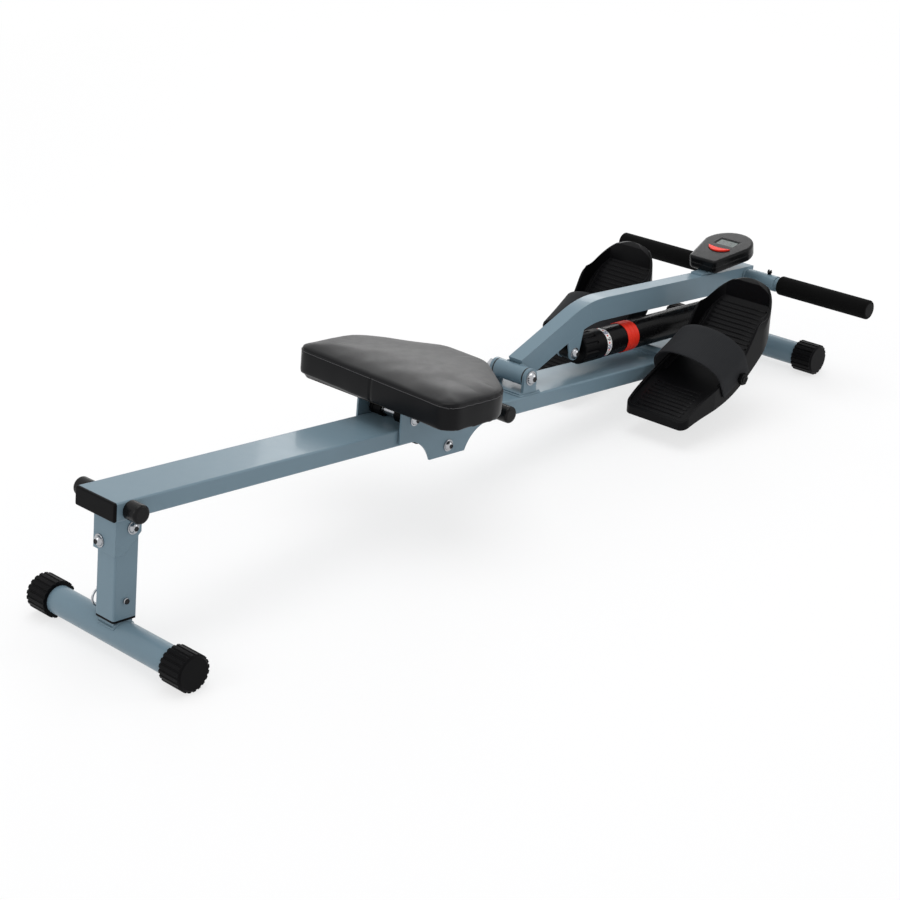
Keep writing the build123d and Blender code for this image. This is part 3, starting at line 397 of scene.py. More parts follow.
    @staticmethod
    def line(name: str, points: Sequence[Vector], radius: float) -> Piece:
        """Makes a thin round line through points.

        Args:
            name: Name of the piece.
            points: The points it runs through.
            radius: Its radius in millimetres.

        Returns:
            The line as a mesh piece.
        """
        path = Bench.add(name, bpy.ops.curve.primitive_nurbs_path_add)
        path.data.splines.clear()
        spline = path.data.splines.new("NURBS")
        spline.points.add(len(points) - 1)
        for spot, point in zip(spline.points, points):
            spot.co = (*point, 1.0)
        spline.order_u = 3
        spline.use_endpoint_u = True
        path.data.bevel_depth = radius * MM
        path.data.bevel_resolution = 2
        path.data.use_fill_caps = True
        return Bench.to_mesh(name)


class Value:
    """A node's output that takes part in sums as a number does."""

    def __init__(self, tree: bpy.types.NodeTree, socket: bpy.types.NodeSocket) -> None:
        """Holds a socket and the tree it is in."""
        self.tree = tree
        self.socket = socket

    def at(self, output: str | int) -> "Value":
        """Gives another output of the same node."""
        return Value(self.tree, self.socket.node.outputs[output])

    def _sum(self, operation: str, first: Any, second: Any) -> "Value":
        """Adds a Math node for two terms.

        Args:
            operation: The node's operation.
            first: A number or another value.
            second: A number or another value.

        Returns:
            The result.
        """
        return Nodes(self.tree).node("Math", {"operation": operation}, _0=first, _1=second)

    def __add__(self, other: Any) -> "Value":
        """Adds."""
        return self._sum("ADD", self, other)

    __radd__ = __add__

    def __sub__(self, other: Any) -> "Value":
        """Subtracts."""
        return self._sum("SUBTRACT", self, other)

    def __rsub__(self, other: Any) -> "Value":
        """Subtracts from a number."""
        return self._sum("SUBTRACT", other, self)

    def __mul__(self, other: Any) -> "Value":
        """Multiplies."""
        return self._sum("MULTIPLY", self, other)

    __rmul__ = __mul__

    def most(self, other: Any) -> "Value":
        """Gives the larger of two values."""
        return self._sum("MAXIMUM", self, other)


class Nodes:
    """Lays out nodes in one tree."""

    def __init__(self, tree: bpy.types.NodeTree) -> None:
        """Holds the tree."""
        self.tree = tree

    def node(self, kind: str, settings: dict[str, Any] | None = None, **sockets: Any) -> Value:
        """Adds a node.

        Args:
            kind: The node's type after ShaderNode.
            settings: The node's own settings, set first.
            sockets: Values or links by socket name, or by number after an underscore.

        Returns:
            The node's first output.
        """
        node = self.tree.nodes.new("ShaderNode" + kind)
        for key, value in (settings or {}).items():
            setattr(node, key, value)
        for key, value in sockets.items():
            slot = node.inputs[int(key[1:])] if key.startswith("_") else node.inputs[key]
            self.feed(slot, value)
        return Value(self.tree, node.outputs[0])

    def feed(self, slot: bpy.types.NodeSocket, value: Any) -> None:
        """Links a value to a socket, or sets it there.

        Args:
            slot: The socket.
            value: A number, a colour or another node's value.
        """
        if isinstance(value, Value):
            self.tree.links.new(value.socket, slot)
        else:
            slot.default_value = value

    def seen(self) -> Value:
        """Tells which rays show the room: seen directly, mirrored or through glass."""
        rays = self.node("LightPath")
        return rays.at("Is Camera Ray").most(rays.at("Is Glossy Ray")).most(rays.at("Is Transmission Ray"))


class Palette(Nodes):
    """Lays out the nodes of one material."""

    def __init__(self, name: str) -> None:
        """Starts a material with its main shader.

        Args:
            name: Name of the material.
        """
        self.material = bpy.data.materials.new(name)
        self.material.use_nodes = True
        super().__init__(self.material.node_tree)
        self.shader = self.tree.nodes["Principled BSDF"]

    def blend(self, share: Any, first: Any, second: Any) -> Value:
        """Mixes two colours.

        Args:
            share: How much of the second.
            first: A colour or a colour value.
            second: A colour or a colour value.

        Returns:
            The mixed colour.
        """
        pair = [term if isinstance(term, Value) else (*term, 1.0) for term in (first, second)]
        return self.node("Mix", {"data_type": "RGBA"}, _0=share, _6=pair[0], _7=pair[1]).at(2)

    def coat_of(self, **sockets: Any) -> None:
        """Feeds the main shader's sockets, with underscores for spaces in their names."""
        for key, value in sockets.items():
            self.feed(self.shader.inputs[key.replace("_", " ")], value)


class Grain(Enum):
    """Surface textures."""

    PEEL = "sprayed paint"
    MOULDED = "spark-eroded mould"
    LEATHER = "embossed vinyl"
    FOAM = "open pores"
    BRUSHED = "fine turning marks"
    WEAVE = "plain weave"
    PLY = "wood veneer"
    SMOOTH = "polished"


# Grains that are drawn out one way: the pattern's scale on each axis, and its detail.
DRAWN_GRAINS = {Grain.BRUSHED: ((0.08, 1.0, 0.3), 2.0), Grain.PLY: ((0.12, 1.0, 1.0), 6.0)}
# Grains whose hollows are darker, by this share and to this part of the colour.
HOLLOW_GRAINS = (Grain.PLY, Grain.WEAVE, Grain.LEATHER, Grain.FOAM)
HOLLOW_SHARE, HOLLOW_DARK = 0.6, 0.55
# What each pattern adds to a grain's height, and how much finer pores and pits are.
CELL_SHARE, PORE_SHARE, PORE_SCALE = 0.8, 0.35, 3.0
MOULD_SHARE, PIT_SHARE, PIT_SCALE = 0.7, 0.3, 1.6
YARN_SHARE, FUZZ_SHARE = 0.8, 0.2
BUMP_STRENGTH = 0.6
# Drifts of colour and of gloss over a surface, in repeats for each metre.
CLOUD_SCALE, SMEAR_SCALE, GLOSS_SPREAD = 11.0, 70.0, 0.14
# How strongly a worn edge shows, and the least that it is lighter.
WEAR_GAIN, WEAR_LIFT = 5.0, 0.015


@dataclass(frozen=True)
class Finish:
    """One surface finish; lengths in millimetres."""

    name: str
    colour: Colour
    roughness: float
    grain: Grain
    pitch: float
    depth: float
    metallic: float = 0.0
    coat: float = 0.0
    coat_roughness: float = 0.08
    specular: float = 0.5
    sheen: float = 0.0
    drift: float = 0.1
    edge: float = 0.5
    edge_light: float = 0.0

    def _tone(self, share: float, lift: float = 0.0) -> Colour:
        """Gives the colour times a share, lifted, and no brighter than white."""
        return tuple(min(1.0, part * share + lift) for part in self.colour)

    def _height(self, palette: Palette, where: Value) -> Value:
        """Makes the grain's height.

        Args:
            palette: The material being laid out.
            where: Object coordinates.

        Returns:
            A height from about 0 to 1.
        """
        scale = 1.0 / (self.pitch * MM)
        if self.grain in DRAWN_GRAINS:
            stretch, detail = DRAWN_GRAINS[self.grain]
            drawn = palette.node("Mapping", Vector=where, Scale=[scale * part for part in stretch])
            return palette.node("TexNoise", Vector=drawn, Scale=1.0, Detail=detail)
        if self.grain in (Grain.LEATHER, Grain.FOAM):
            cells = palette.node("TexVoronoi", {"feature": "SMOOTH_F1"}, Vector=where, Scale=scale)
            pores = palette.node("TexNoise", Vector=where, Scale=scale * PORE_SCALE, Detail=2.0)
            return cells * CELL_SHARE + pores * PORE_SHARE
        speckle = palette.node("TexNoise", Vector=where, Scale=scale, Detail=3.0, Roughness=0.55)
        if self.grain is Grain.MOULDED:
            pits = palette.node("TexVoronoi", Vector=where, Scale=scale * PIT_SCALE)
            return speckle * MOULD_SHARE + pits * PIT_SHARE
        if self.grain is Grain.WEAVE:
            flat = palette.node("Attribute", {"attribute_name": "weave"}).at("Vector")
            turns = scale / math.tau
            rows, ranks = (
                palette.node("TexWave", {"bands_direction": way}, Vector=flat, Scale=turns).at("Fac")
                for way in "XY"
            )
            return rows * ranks * YARN_SHARE + speckle * FUZZ_SHARE
        return speckle

    def make(self) -> bpy.types.Material:
        """Makes the material.

        Returns:
            The finished material.
        """
        palette = Palette(self.name)
        where = palette.node("TexCoord").at("Object")
        cloud = palette.node("TexNoise", Vector=where, Scale=CLOUD_SCALE, Detail=4.0)
        smear = palette.node("TexNoise", Vector=where, Scale=SMEAR_SCALE, Detail=5.0, Roughness=0.6)
        height = self._height(palette, where)
        colour = palette.blend(cloud, self._tone(1 - self.drift), self._tone(1 + self.drift))
        if self.grain in HOLLOW_GRAINS:
            colour = palette.blend(height * HOLLOW_SHARE, self._tone(HOLLOW_DARK), colour)
        rounded = palette.node("Bevel", {"samples": 4}, Radius=self.edge * MM)
        if self.edge_light:
            flat = palette.node("NewGeometry").at("Normal")
            match = palette.node("VectorMath", {"operation": "DOT_PRODUCT"}, _0=rounded, _1=flat).at("Value")
            worn = (1 - match).most(0.0) * WEAR_GAIN * smear
            colour = palette.blend(worn, colour, self._tone(1 + self.edge_light, WEAR_LIFT))
        bump = palette.node(
            "Bump", Height=height, Strength=BUMP_STRENGTH, Distance=self.depth * MM, Normal=rounded
        )
        palette.coat_of(
            Base_Color=colour,
            Roughness=smear * GLOSS_SPREAD + (self.roughness - GLOSS_SPREAD / 2),
            Normal=bump,
            Metallic=self.metallic,
            Coat_Weight=self.coat,
            Coat_Roughness=self.coat_roughness,
            Specular_IOR_Level=self.specular,
            Sheen_Weight=self.sheen,
        )
        return palette.material


PAINT = Finish("grey_blue_paint", (0.157, 0.232, 0.282), 0.32, Grain.PEEL, 2.2, 0.02, coat=0.12,
               coat_roughness=0.06, specular=0.18, drift=0.03, edge=0.9, edge_light=0.35)
BLACK_PLASTIC = Finish("black_plastic", (0.003, 0.003, 0.0035), 0.44, Grain.MOULDED, 0.6, 0.04,
                       specular=0.06, edge=0.7, edge_light=0.6)
PEDAL_PLASTIC = Finish("pedal_plastic", (0.0036, 0.0036, 0.0042), 0.34, Grain.MOULDED, 0.8, 0.04,
                       specular=0.075, edge=0.9, edge_light=0.9)
CASE_PLASTIC = Finish("case_plastic", (0.005, 0.0053, 0.0058), 0.2, Grain.MOULDED, 0.7, 0.01, coat=0.04,
                      specular=0.1, edge=2.5, edge_light=0.2)
STOP_RUBBER = Finish("stop_rubber", (0.005, 0.005, 0.0055), 0.26, Grain.PEEL, 1.4, 0.01, specular=0.15)
GRIP_FOAM = Finish("grip_foam", (0.005, 0.005, 0.005), 0.92, Grain.FOAM, 0.9, 0.12, specular=0.06,
                   sheen=0.015)
ZINC = Finish("zinc_plate", (0.42, 0.43, 0.45), 0.22, Grain.BRUSHED, 0.5, 0.01, metallic=1.0, drift=0.2)
VINYL = Finish("seat_vinyl", (0.006, 0.0062, 0.0074), 0.34, Grain.LEATHER, 1.1, 0.06, specular=0.12,
               sheen=0.006)
BOARD_WOOD = Finish("seat_board", (0.03, 0.023, 0.017), 0.7, Grain.PLY, 3.0, 0.1, specular=0.2, drift=0.2)
BARREL_PAINT = Finish("barrel_paint", (0.004, 0.004, 0.0045), 0.26, Grain.PEEL, 1.6, 0.002, specular=0.07)
RING_WHITE = Finish("ring_white", (0.82, 0.82, 0.81), 0.4, Grain.SMOOTH, 1.0, 0.006, drift=0.03)
BAND_RED = Finish("band_red", (0.84, 0.036, 0.018), 0.4, Grain.SMOOTH, 0.8, 0.015, specular=0.16, drift=0.08)
LENS = Finish("display_glass", (0.13, 0.158, 0.15), 0.22, Grain.SMOOTH, 2.0, 0.003, coat=0.15, specular=0.2,
              drift=0.08)
CIRCUIT = Finish("circuit_board", (0.03, 0.17, 0.06), 0.45, Grain.PEEL, 0.8, 0.02)
CELL = Finish("cell_sleeve", (0.09, 0.1, 0.35), 0.3, Grain.SMOOTH, 2.0, 0.01, coat=0.4)
ROD_CHROME = Finish("rod_chrome", (0.7, 0.7, 0.72), 0.14, Grain.BRUSHED, 0.4, 0.004, metallic=1.0)
NYLON = Finish("black_nylon", (0.007, 0.007, 0.0075), 0.42, Grain.MOULDED, 0.8, 0.02, specular=0.25)
WEBBING = Finish("strap_webbing", (0.024, 0.0255, 0.0285), 0.8, Grain.WEAVE, 1.3, 0.18, specular=0.14,
                 sheen=0.02)
THREAD = Finish("seat_thread", (0.09, 0.09, 0.095), 0.7, Grain.SMOOTH, 0.4, 0.05)
# Painted shade: the sockets in the zinc heads are near-black for the shadow in their hollows.
SOCKET_SHADE = Finish("bolt_socket", (0.012, 0.012, 0.013), 0.5, Grain.SMOOTH, 0.5, 0.01, specular=0.2)
INK_BLACK = Finish("ink_black", (0.010, 0.010, 0.012), 0.45, Grain.SMOOTH, 0.5, 0.005, specular=0.2)
INK_BLUE = Finish("ink_blue", (0.012, 0.04, 0.2), 0.45, Grain.SMOOTH, 0.5, 0.005, specular=0.2)
INK_RED = Finish("ink_red", (0.70, 0.02, 0.02), 0.45, Grain.SMOOTH, 0.5, 0.005, specular=0.2)

SLOT_FINISHES: dict[str, Finish] = {
    "frame_paint": PAINT, "black_plastic": BLACK_PLASTIC, "pedal_plastic": PEDAL_PLASTIC,
    "case_plastic": CASE_PLASTIC, "stop_rubber": STOP_RUBBER, "grip_foam": GRIP_FOAM, "zinc": ZINC,
    "vinyl": VINYL, "board_wood": BOARD_WOOD, "barrel_paint": BARREL_PAINT, "ring_white": RING_WHITE,
    "band_red": BAND_RED, "lens": LENS, "circuit": CIRCUIT, "cell": CELL, "rod_chrome": ROD_CHROME,
    "nylon": NYLON, "webbing": WEBBING,
}


class FinishRack:
    """Keeps one material for each finish and puts finishes on pieces."""

    def __init__(self) -> None:
        """Starts with no material made."""
        self.made: dict[str, bpy.types.Material] = {}

    def coat(self, piece: Piece, finish: Finish) -> None:
        """Gives a piece a finish all over.

        Args:
            piece: The piece.
            finish: The finish.
        """
        if finish.name not in self.made:
            self.made[finish.name] = finish.make()
        piece.data.materials.clear()
        piece.data.materials.append(self.made[finish.name])

    def coat_nodes(self) -> None:
        """Gives every carried-over node the finish of its slot."""
        for row in frame["record"]["subparts"]:
            self.coat(frame["nodes"][row["node"]], SLOT_FINISHES[row["material_slot"]])
            log.info("node %s: %s", row["node"], row["material_slot"])

    def settle(self, piece: Piece, finish: Finish, body: str, slot: str, *nodes: str) -> None:
        """Finishes a new piece and ties it to the machine.

        Args:
            piece: The piece.
            finish: Its finish.
            body: The body that it moves with.
            slot: The slot that its finish comes from; not used.
            nodes: Nodes that it stands for.
        """
        self.coat(piece, finish)
        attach(piece, body)
        if nodes:
            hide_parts(*nodes)
        log.info("piece %s on %s: %d faces", piece.name, body, len(piece.data.polygons))


class Side(Enum):
    """The rower's two sides, with the sign of Y and the pedal's tilt in degrees."""

    LEFT = ("left", 1, 2.0)
    RIGHT = ("right", -1, -3.5)

    @property
    def label(self) -> str:
        """The word that names begin with."""
        return self.value[0]

    @property
    def sign(self) -> int:
        """The sign of Y on this side."""
        return self.value[1]

    @property
    def tip(self) -> float:
        """The pedal's tilt at rest, in radians."""
        return math.radians(self.value[2])


@dataclass
class SeatCushion:
    """The upholstered seat; lengths in millimetres, heights over the rail's top."""

    rack: FinishRack
    base: float = 40.0
    base_slack: float = 0.5
    merge: float = 0.01
    hem: float = 35.0
    hem_pull: float = 9.0
    half: float = 150.0
    lean: float = 3.2
    seam: float = 70.3
    crown: float = 8.2
    crown_reach: float = 45.0
    board_foot: float = 31.0
    tuck_start: float = 6.0
    tuck_run: float = 5.0
    shrink: float = 0.985
    voxel: float = 4.5
    pressure: float = 6.0
    quality: int = 6
    frames: int = 20
    cap: float = 12.0
    held_band: float = 3.4
    held_reach: float = 8.0
    groove_depth: float = 1.9
    groove_half: float = 3.2
    ripple: float = 0.7
    ripple_length: float = 38.0
    rear_seam_aside: float = -3.0
    rear_seam_start: float = 2.0
    stitch_sides: int = 6
    stitch_pitch: float = 3.4
    stitch_length: float = 2.3
    stitch_radius: float = 0.32
    stitch_inset: float = 0.4
    stitch_end: Triple = (1.25, 0.7, 0.7)
    stitch_lift: float = 0.3
    stitch_drop: float = 2.6
    outline: list[Vector] = field(default_factory=list)

    def _plan(self, point: Vector) -> tuple[Vector, float]:
        """Splits a point into its place in the seat's plan and its height.

        Args:
            point: A point in metres.

        Returns:
            The plan place and the height over the rail, in millimetres.
        """
        away = (point - RAIL_REAR) / MM
        return Vector((away.dot(ALONG), away.y)), away.dot(ABOVE)

    def _middle(self, spots: Sequence[Vector]) -> Vector:
        """Gives the mean of some plan places."""
        return sum(spots, Vector((0.0, 0.0))) / len(spots)

    def _trace_outline(self) -> None:
        """Reads the seat's outline from the lower edge of its node, as a line that ends where it starts."""
        spots = {}
        for vertex in frame["nodes"]["seat_cushion"].data.vertices:
            plan, height = self._plan(vertex.co)
            if height < self.base + self.base_slack:
                spots[(round(plan.x, 1), round(plan.y, 1))] = plan
        middle = self._middle(list(spots.values()))
        turned = sorted(spots.values(), key=lambda spot: math.atan2(spot.y - middle.y, spot.x - middle.x))
        self.outline = turned + turned[:1]

    def _edge_distance(self, plan: Vector) -> float:
        """Measures how far a plan place is from the outline.

        Args:
            plan: The place.

        Returns:
            The distance in millimetres.
        """
        nearest = math.inf
        for start, end in zip(self.outline, self.outline[1:]):
            run = end - start
            share = max(0.0, min(1.0, (plan - start).dot(run) / max(run.length_squared, TINY)))
            nearest = min(nearest, (start + run * share - plan).length)
        return nearest

    def _start_shape(self) -> Piece:
        """Copies the seat's solid as one closed skin: smaller, domed, and drawn down over the board.

        Returns:
            The skin before it swells.
        """
        pad = Bench.link("seat_cushion_cover", frame["nodes"]["seat_cushion"].data.copy())
        with Bench.editing(pad):
            Bench.pick_all()
            bpy.ops.mesh.remove_doubles(threshold=self.merge * MM)
        middle = self._middle(self.outline[:-1])
        for vertex in pad.data.vertices:
            plan, height = self._plan(vertex.co)
            plan = middle + (plan - middle) * self.shrink
            if height < self.base + self.hem_pull:
                height += (self.hem - self.base) * (1 - (height - self.base) / self.hem_pull)
            vertex.co = rail_point(plan.x, height, plan.y)
        pad.data.remesh_voxel_size = self.voxel * MM
        Bench.only(pad)
        bpy.ops.object.voxel_remesh()
        for vertex in pad.data.vertices:
            plan, height = self._plan(vertex.co)
            if height > self.seam:
                inside = min(1.0, self._edge_distance(plan) / self.crown_reach)
                vertex.co = rail_point(plan.x, self.seam + self.crown * inside * (2 - inside), plan.y)
        return pad

    def _swell(self, pad: Piece) -> None:
        """Blows the panels up between the seams, which stay held.

        Args:
            pad: The skin, changed in place.
        """
        held = pad.vertex_groups.new(name="held")
        for vertex in pad.data.vertices:
            plan, height = self._plan(vertex.co)
            by_seam = abs(height - self.seam) < self.held_band
            if height < self.hem + self.held_band or by_seam and self._edge_distance(plan) < self.held_reach:
                held.add([vertex.index], 1.0, "REPLACE")
        cloth = pad.modifiers.new("Swell", "CLOTH")
        cloth.settings.use_pressure = True
        cloth.settings.uniform_pressure_force = self.pressure
        cloth.settings.vertex_group_mass = held.name
        cloth.settings.effector_weights.gravity = 0.0
        cloth.settings.quality = self.quality
        cloth.collision_settings.use_collision = False
        cloth.point_cache.frame_start = 1
        cloth.point_cache.frame_end = self.frames
        for number in range(1, self.frames + 1):
            bpy.context.scene.frame_set(number)
        swollen = pad.evaluated_get(bpy.context.evaluated_depsgraph_get())
        moved = [vertex.co.copy() for vertex in swollen.data.vertices]
        pad.modifiers.remove(cloth)
        for vertex, goal in zip(pad.data.vertices, moved):
            step = goal - vertex.co
            vertex.co += step * min(1.0, self.cap * MM / max(step.length, TINY))
        most = max((goal - vertex.co).length for vertex, goal in zip(pad.data.vertices, moved))
        log.info("cushion swollen, %.1f mm capped at most", most / MM)
        bpy.context.scene.frame_set(1)
        pad.vertex_groups.clear()

    def _sew(self, pad: Piece) -> None:
        """Pulls the seams in, ripples the panels, leans the cushion and tucks it under the board.

        Args:
            pad: The skin, changed in place.
        """
        rear = min(spot.x for spot in self.outline)
        moves = []
        for vertex in pad.data.vertices:
            plan, height = self._plan(vertex.co)
            pull = 0.0
            edge = self._edge_distance(plan)
            rise = self.lean * plan.y / self.half
            if height < self.hem + self.held_band:
                tucked = max(0.0, min(1.0, (edge - self.tuck_start) / self.tuck_run))
                rise += (self.board_foot - height - rise) * tucked
            if edge < self.held_reach:
                pull = max(0.0, 1 - abs(height - self.seam) / self.groove_half)
            if plan.x < rear + self.held_reach and self.hem + self.rear_seam_start < height < self.seam:
                aside = abs(plan.y - self.rear_seam_aside)
                pull = max(pull, 1 - aside / self.groove_half)
            wave = noise.noise(vertex.co / (self.ripple_length * MM)) * self.ripple * (1 - pull)
            inward = vertex.normal * ((wave - self.groove_depth * pull * pull) * MM)
            moves.append(inward + ABOVE * (rise * MM))
        for vertex, move in zip(pad.data.vertices, moves):
            vertex.co += move

    def _stitch(self, pad: Piece) -> Piece:
        """Lays a row of stitches along the band, just under the top seam.

        Args:
            pad: The sewn skin.

        Returns:
            The row of stitches.
        """
        quarter = math.pi / 2
        sizes = (self.stitch_sides, self.stitch_radius, self.stitch_length)
        seed = Bench.cylinder("stitch", *sizes, rotation=(0, quarter, 0))
        with Bench.editing(seed):
            Bench.pick(seed, Element.FACE, lambda face: len(face.verts) == self.stitch_sides)
            bpy.ops.mesh.inset(thickness=self.stitch_radius * self.stitch_inset * MM)
            bpy.ops.transform.resize(value=self.stitch_end)
        Bench.put(seed, Matrix.Rotation(quarter, 4, "Y"))
        Bench.soften(seed, Shade.ROUND)
        skin = BVHTree.FromObject(pad, bpy.context.evaluated_depsgraph_get())
        places = []
        for spot, run in walk(self.outline, self.stitch_pitch):
            rise = self.lean * spot.y / self.half - self.stitch_drop
            point, normal, _, _ = skin.find_nearest(rail_point(spot.x, self.seam + rise, spot.y))
            lifted = point + normal * self.stitch_radius * self.stitch_lift * MM
            places.append(place_at(lifted, ALONG * run.x + LEFT * run.y, normal))
        return Bench.scatter(seed, places, "seat_stitching")

    def build(self) -> None:
        """Makes the cushion and its stitching."""
        self._trace_outline()
        pad = self._start_shape()
        self._swell(pad)
        Bench.modify(pad, "SUBSURF", levels=1, render_levels=1)
        self._sew(pad)
        Bench.soften(pad, Shade.SOFT)
        stitches = self._stitch(pad)
        self.rack.settle(pad, VINYL, "carriage", "vinyl", "seat_cushion")
        self.rack.settle(stitches, THREAD, "carriage", "vinyl")


@dataclass
class Pedal:
    """One foot pedal's tread and strap; lengths in millimetres, drawn from the axle."""

    rack: FinishRack
    side: Side
    centre: float = 113.0
    probe_height: float = 120.0
    toe: float = 110.0
    half: float = 61.0
    corner: float = 56.0
    wall: float = 4.0
    toe_ribs: Triple = (14.0, 90.0, 46.0)
    heel_ribs: Triple = (-118.0, -64.0, 42.0)
    rib_pitch: float = 7.8
    rib_size: Triple = (3.0, 2.0, 2.6)
    rib_round: float = 0.9
    rib_gap: float = 3.0
    least_slope: float = 0.35
    edge_lines: Pair = (50.0, 53.6)
    edge_start: float = -40.0
    edge_end: float = 76.0
    edge_shorter: float = 8.0
    edge_step: float = 6.0
    edge_radius: float = 0.9
    rim_start: float = -50.0
    rim_steps: int = 14
    rim_turns: int = 12
    rim_radius: float = 1.7
    strap_half: float = 64.2
    strap_height: float = 41.8
    strap_width: float = 68.0
    strap_sides: int = 88
    strap_steps: int = 10
    strap_tail: float = 27.0
    tail_steps: int = 4
    strap_tilt: float = 26.0
    strap_back: float = 52.0
    strap_base: float = 2.0
    strap_thickness: float = 2.6
    strap_round: float = 0.7
    strap_sag: float = 1.6
    strap_wave: float = 1.3
    wave_turns: Pair = (3.0, 0.6)
    strap_skew: float = 1.6
    skew_turns: Pair = (2.0, 1.1)
    level_slack: float = 0.01

    def __post_init__(self) -> None:
        """Works out the pedal's own directions."""
        self.point = rail_point(*PEDAL_AXLE, self.side.sign * self.centre)
        self.toeward = Vector((math.cos(self.side.tip), 0.0, math.sin(self.side.tip)))
        self.upward = Vector((-math.sin(self.side.tip), 0.0, math.cos(self.side.tip)))
        self.body = self.side.label + "_pedal"
        self.skin = BVHTree.FromObject(frame["nodes"][self.body], bpy.context.evaluated_depsgraph_get())

    def _bed(self, reach: float, aside: float) -> tuple[Vector, Vector]:
        """Finds the tread under a place.

        Args:
            reach: Millimetres towards the toe.
            aside: Millimetres to the left of the pedal's middle.

        Returns:
            The point on the tread and its normal.
        """
        start = self.point + (self.toeward * reach + LEFT * aside + self.upward * self.probe_height) * MM
        point, normal, _, _ = self.skin.ray_cast(start, -self.upward)
        return point, normal

    def _ribs(self) -> Piece:
        """Makes the cross ribs of the tread from one that is 1 mm long to each side.

        Returns:
            All the ribs as one piece.
        """
        seed = Bench.block("rib", self.rib_size)
        with Bench.editing(seed):
            Bench.pick(seed, Element.EDGE, lambda edge: all(vert.co.z > 0 for vert in edge.verts))
            bpy.ops.mesh.bevel(offset=self.rib_round * MM, segments=3)
        Bench.soften(seed)
        places = []
        for first, last, half in (self.toe_ribs, self.heel_ribs):
            reach = first
            while reach <= last:
                point, normal = self._bed(reach, 0.0)
                turned = max(0.0, reach - (self.toe - self.corner))
                room = self.half - self.corner + math.sqrt((self.corner - self.wall) ** 2 - turned ** 2)
                stretch = (1, min(half, room - self.rib_gap), 1)
                places.append(place_at(point, LEFT.cross(normal), normal, stretch))
                reach += self.rib_pitch * max(self.least_slope, normal.dot(self.upward))
        return Bench.scatter(seed, places, self.side.label + "_tread_ribs")

    def _edges(self) -> Piece:
        """Makes the two fine lines along each side of the tread.

        Returns:
            The lines as one piece.
        """
        lines = []
        for way in (-1, 1):
            for number, aside in enumerate(self.edge_lines):
                points = []
                reach = self.edge_start
                while reach < self.edge_end - self.edge_shorter * number:
                    points.append(self._bed(reach, way * aside)[0])
                    reach += self.edge_step
                lines.append(Bench.line(f"edge_{way}_{number}", points, self.edge_radius))
        joined = Bench.join(lines, self.side.label + "_tread_edges")
        Bench.soften(joined, Shade.ROUND)
        return joined

    def _rim(self) -> Piece:
        """Makes the rolled rim along the top of the pedal's wall, round the toe.

        Returns:
            The rim.
        """
        bend = self.toe - self.corner
        side = self.half - self.wall / 2
        reach = self.corner - self.wall / 2
        run = (bend - self.rim_start) / self.rim_steps
        plan = [(self.rim_start + run * step, side) for step in range(self.rim_steps)]
        for step in range(self.rim_turns + 1):
            turn = math.pi / 2 * (1 - step / self.rim_turns)
            plan.append((bend + reach * math.cos(turn), self.half - self.corner + reach * math.sin(turn)))
        plan += [(along, -aside) for along, aside in reversed(plan)]
        points = [self._bed(along, aside)[0] for along, aside in plan]
        rim = Bench.line(self.side.label + "_pedal_rim", points, self.rim_radius)
        Bench.soften(rim, Shade.ROUND)
        return rim

    def _strap_sheet(self) -> Piece:
        """Makes the strap as a thin upright arch with straight tails.

        Returns:
            The sheet, drawn about the origin.
        """
        strap = Bench.add(
            self.side.label + "_foot_strap", bpy.ops.mesh.primitive_circle_add,
            vertices=self.strap_sides, radius=1.0,
        )
        slack = self.level_slack * MM
        with Bench.editing(strap):
            Bench.pick_all()
            bpy.ops.transform.resize(value=(self.strap_half * MM, self.strap_height * MM, 1.0))
            Bench.pick(strap, Element.VERT, lambda vert: vert.co.y < -slack)
            bpy.ops.mesh.delete(type="VERT")
            for _ in range(self.tail_steps):
                low = min(vert.co.y for vert in bmesh.from_edit_mesh(strap.data).verts)
                Bench.pick(strap, Element.VERT, lambda vert: vert.co.y < low + slack)
                Bench.pull(0.0, -self.strap_tail / self.tail_steps, 0.0)
            Bench.pick_all()
            for _ in range(self.strap_steps):
                Bench.pull(0.0, 0.0, self.strap_width / self.strap_steps)
            Bench.face_outward()
        return strap

    def _wear_in(self, strap: Piece) -> None:
        """Marks the weave's directions on the strap and lets it sag and wave a little.

        Args:
            strap: The sheet, changed in place.
        """
        half, height = self.strap_half * MM, self.strap_height * MM
        turns, phase = self.wave_turns
        skews, start = self.skew_turns
        weave = strap.data.attributes.new("weave", "FLOAT_VECTOR", "POINT")
        for vertex in strap.data.vertices:
            turn = math.atan2(max(vertex.co.y, 0.0) / height, vertex.co.x / half)
            run = turn * (half + height) / 2 + abs(min(vertex.co.y, 0.0))
            weave.data[vertex.index].vector = (run, vertex.co.z, 0.0)
            across = vertex.co.z / (self.strap_width * MM)
            lift = math.sin(turn)
            sag = math.sin(math.pi * across) * self.strap_sag * lift
            wave = math.sin(turn * turns + phase + self.side.sign) * self.strap_wave * (across - 0.5) * lift
            vertex.co.y -= (sag + abs(wave)) * MM
            vertex.co.z += math.sin(turn * skews + start) * self.strap_skew * MM * lift * (1 - across)

    def _strap(self) -> Piece:
        """Makes the strap: a wide band arched over the foot, with its ends down the pedal's sides.

        Returns:
            The strap in its place.
        """
        strap = self._strap_sheet()
        self._wear_in(strap)
        Bench.modify(strap, "SOLIDIFY", thickness=self.strap_thickness * MM, offset=-1.0)
        Bench.round_off(strap, self.strap_round)
        tilt = math.radians(self.strap_tilt)
        start = self.point + (self.upward * self.strap_base - self.toeward * self.strap_back) * MM
        way = self.toeward * math.cos(tilt) + self.upward * math.sin(tilt)
        Bench.put(strap, place_at(start, LEFT, way))
        Bench.soften(strap, Shade.CLOTH)
        return strap

    def build(self) -> None:
        """Makes the tread and the strap."""
        for piece in (self._ribs(), self._edges(), self._rim()):
            self.rack.settle(piece, PEDAL_PLASTIC, self.body, "pedal_plastic")
        self.rack.settle(self._strap(), WEBBING, self.body, "webbing", self.side.label + "_strap")


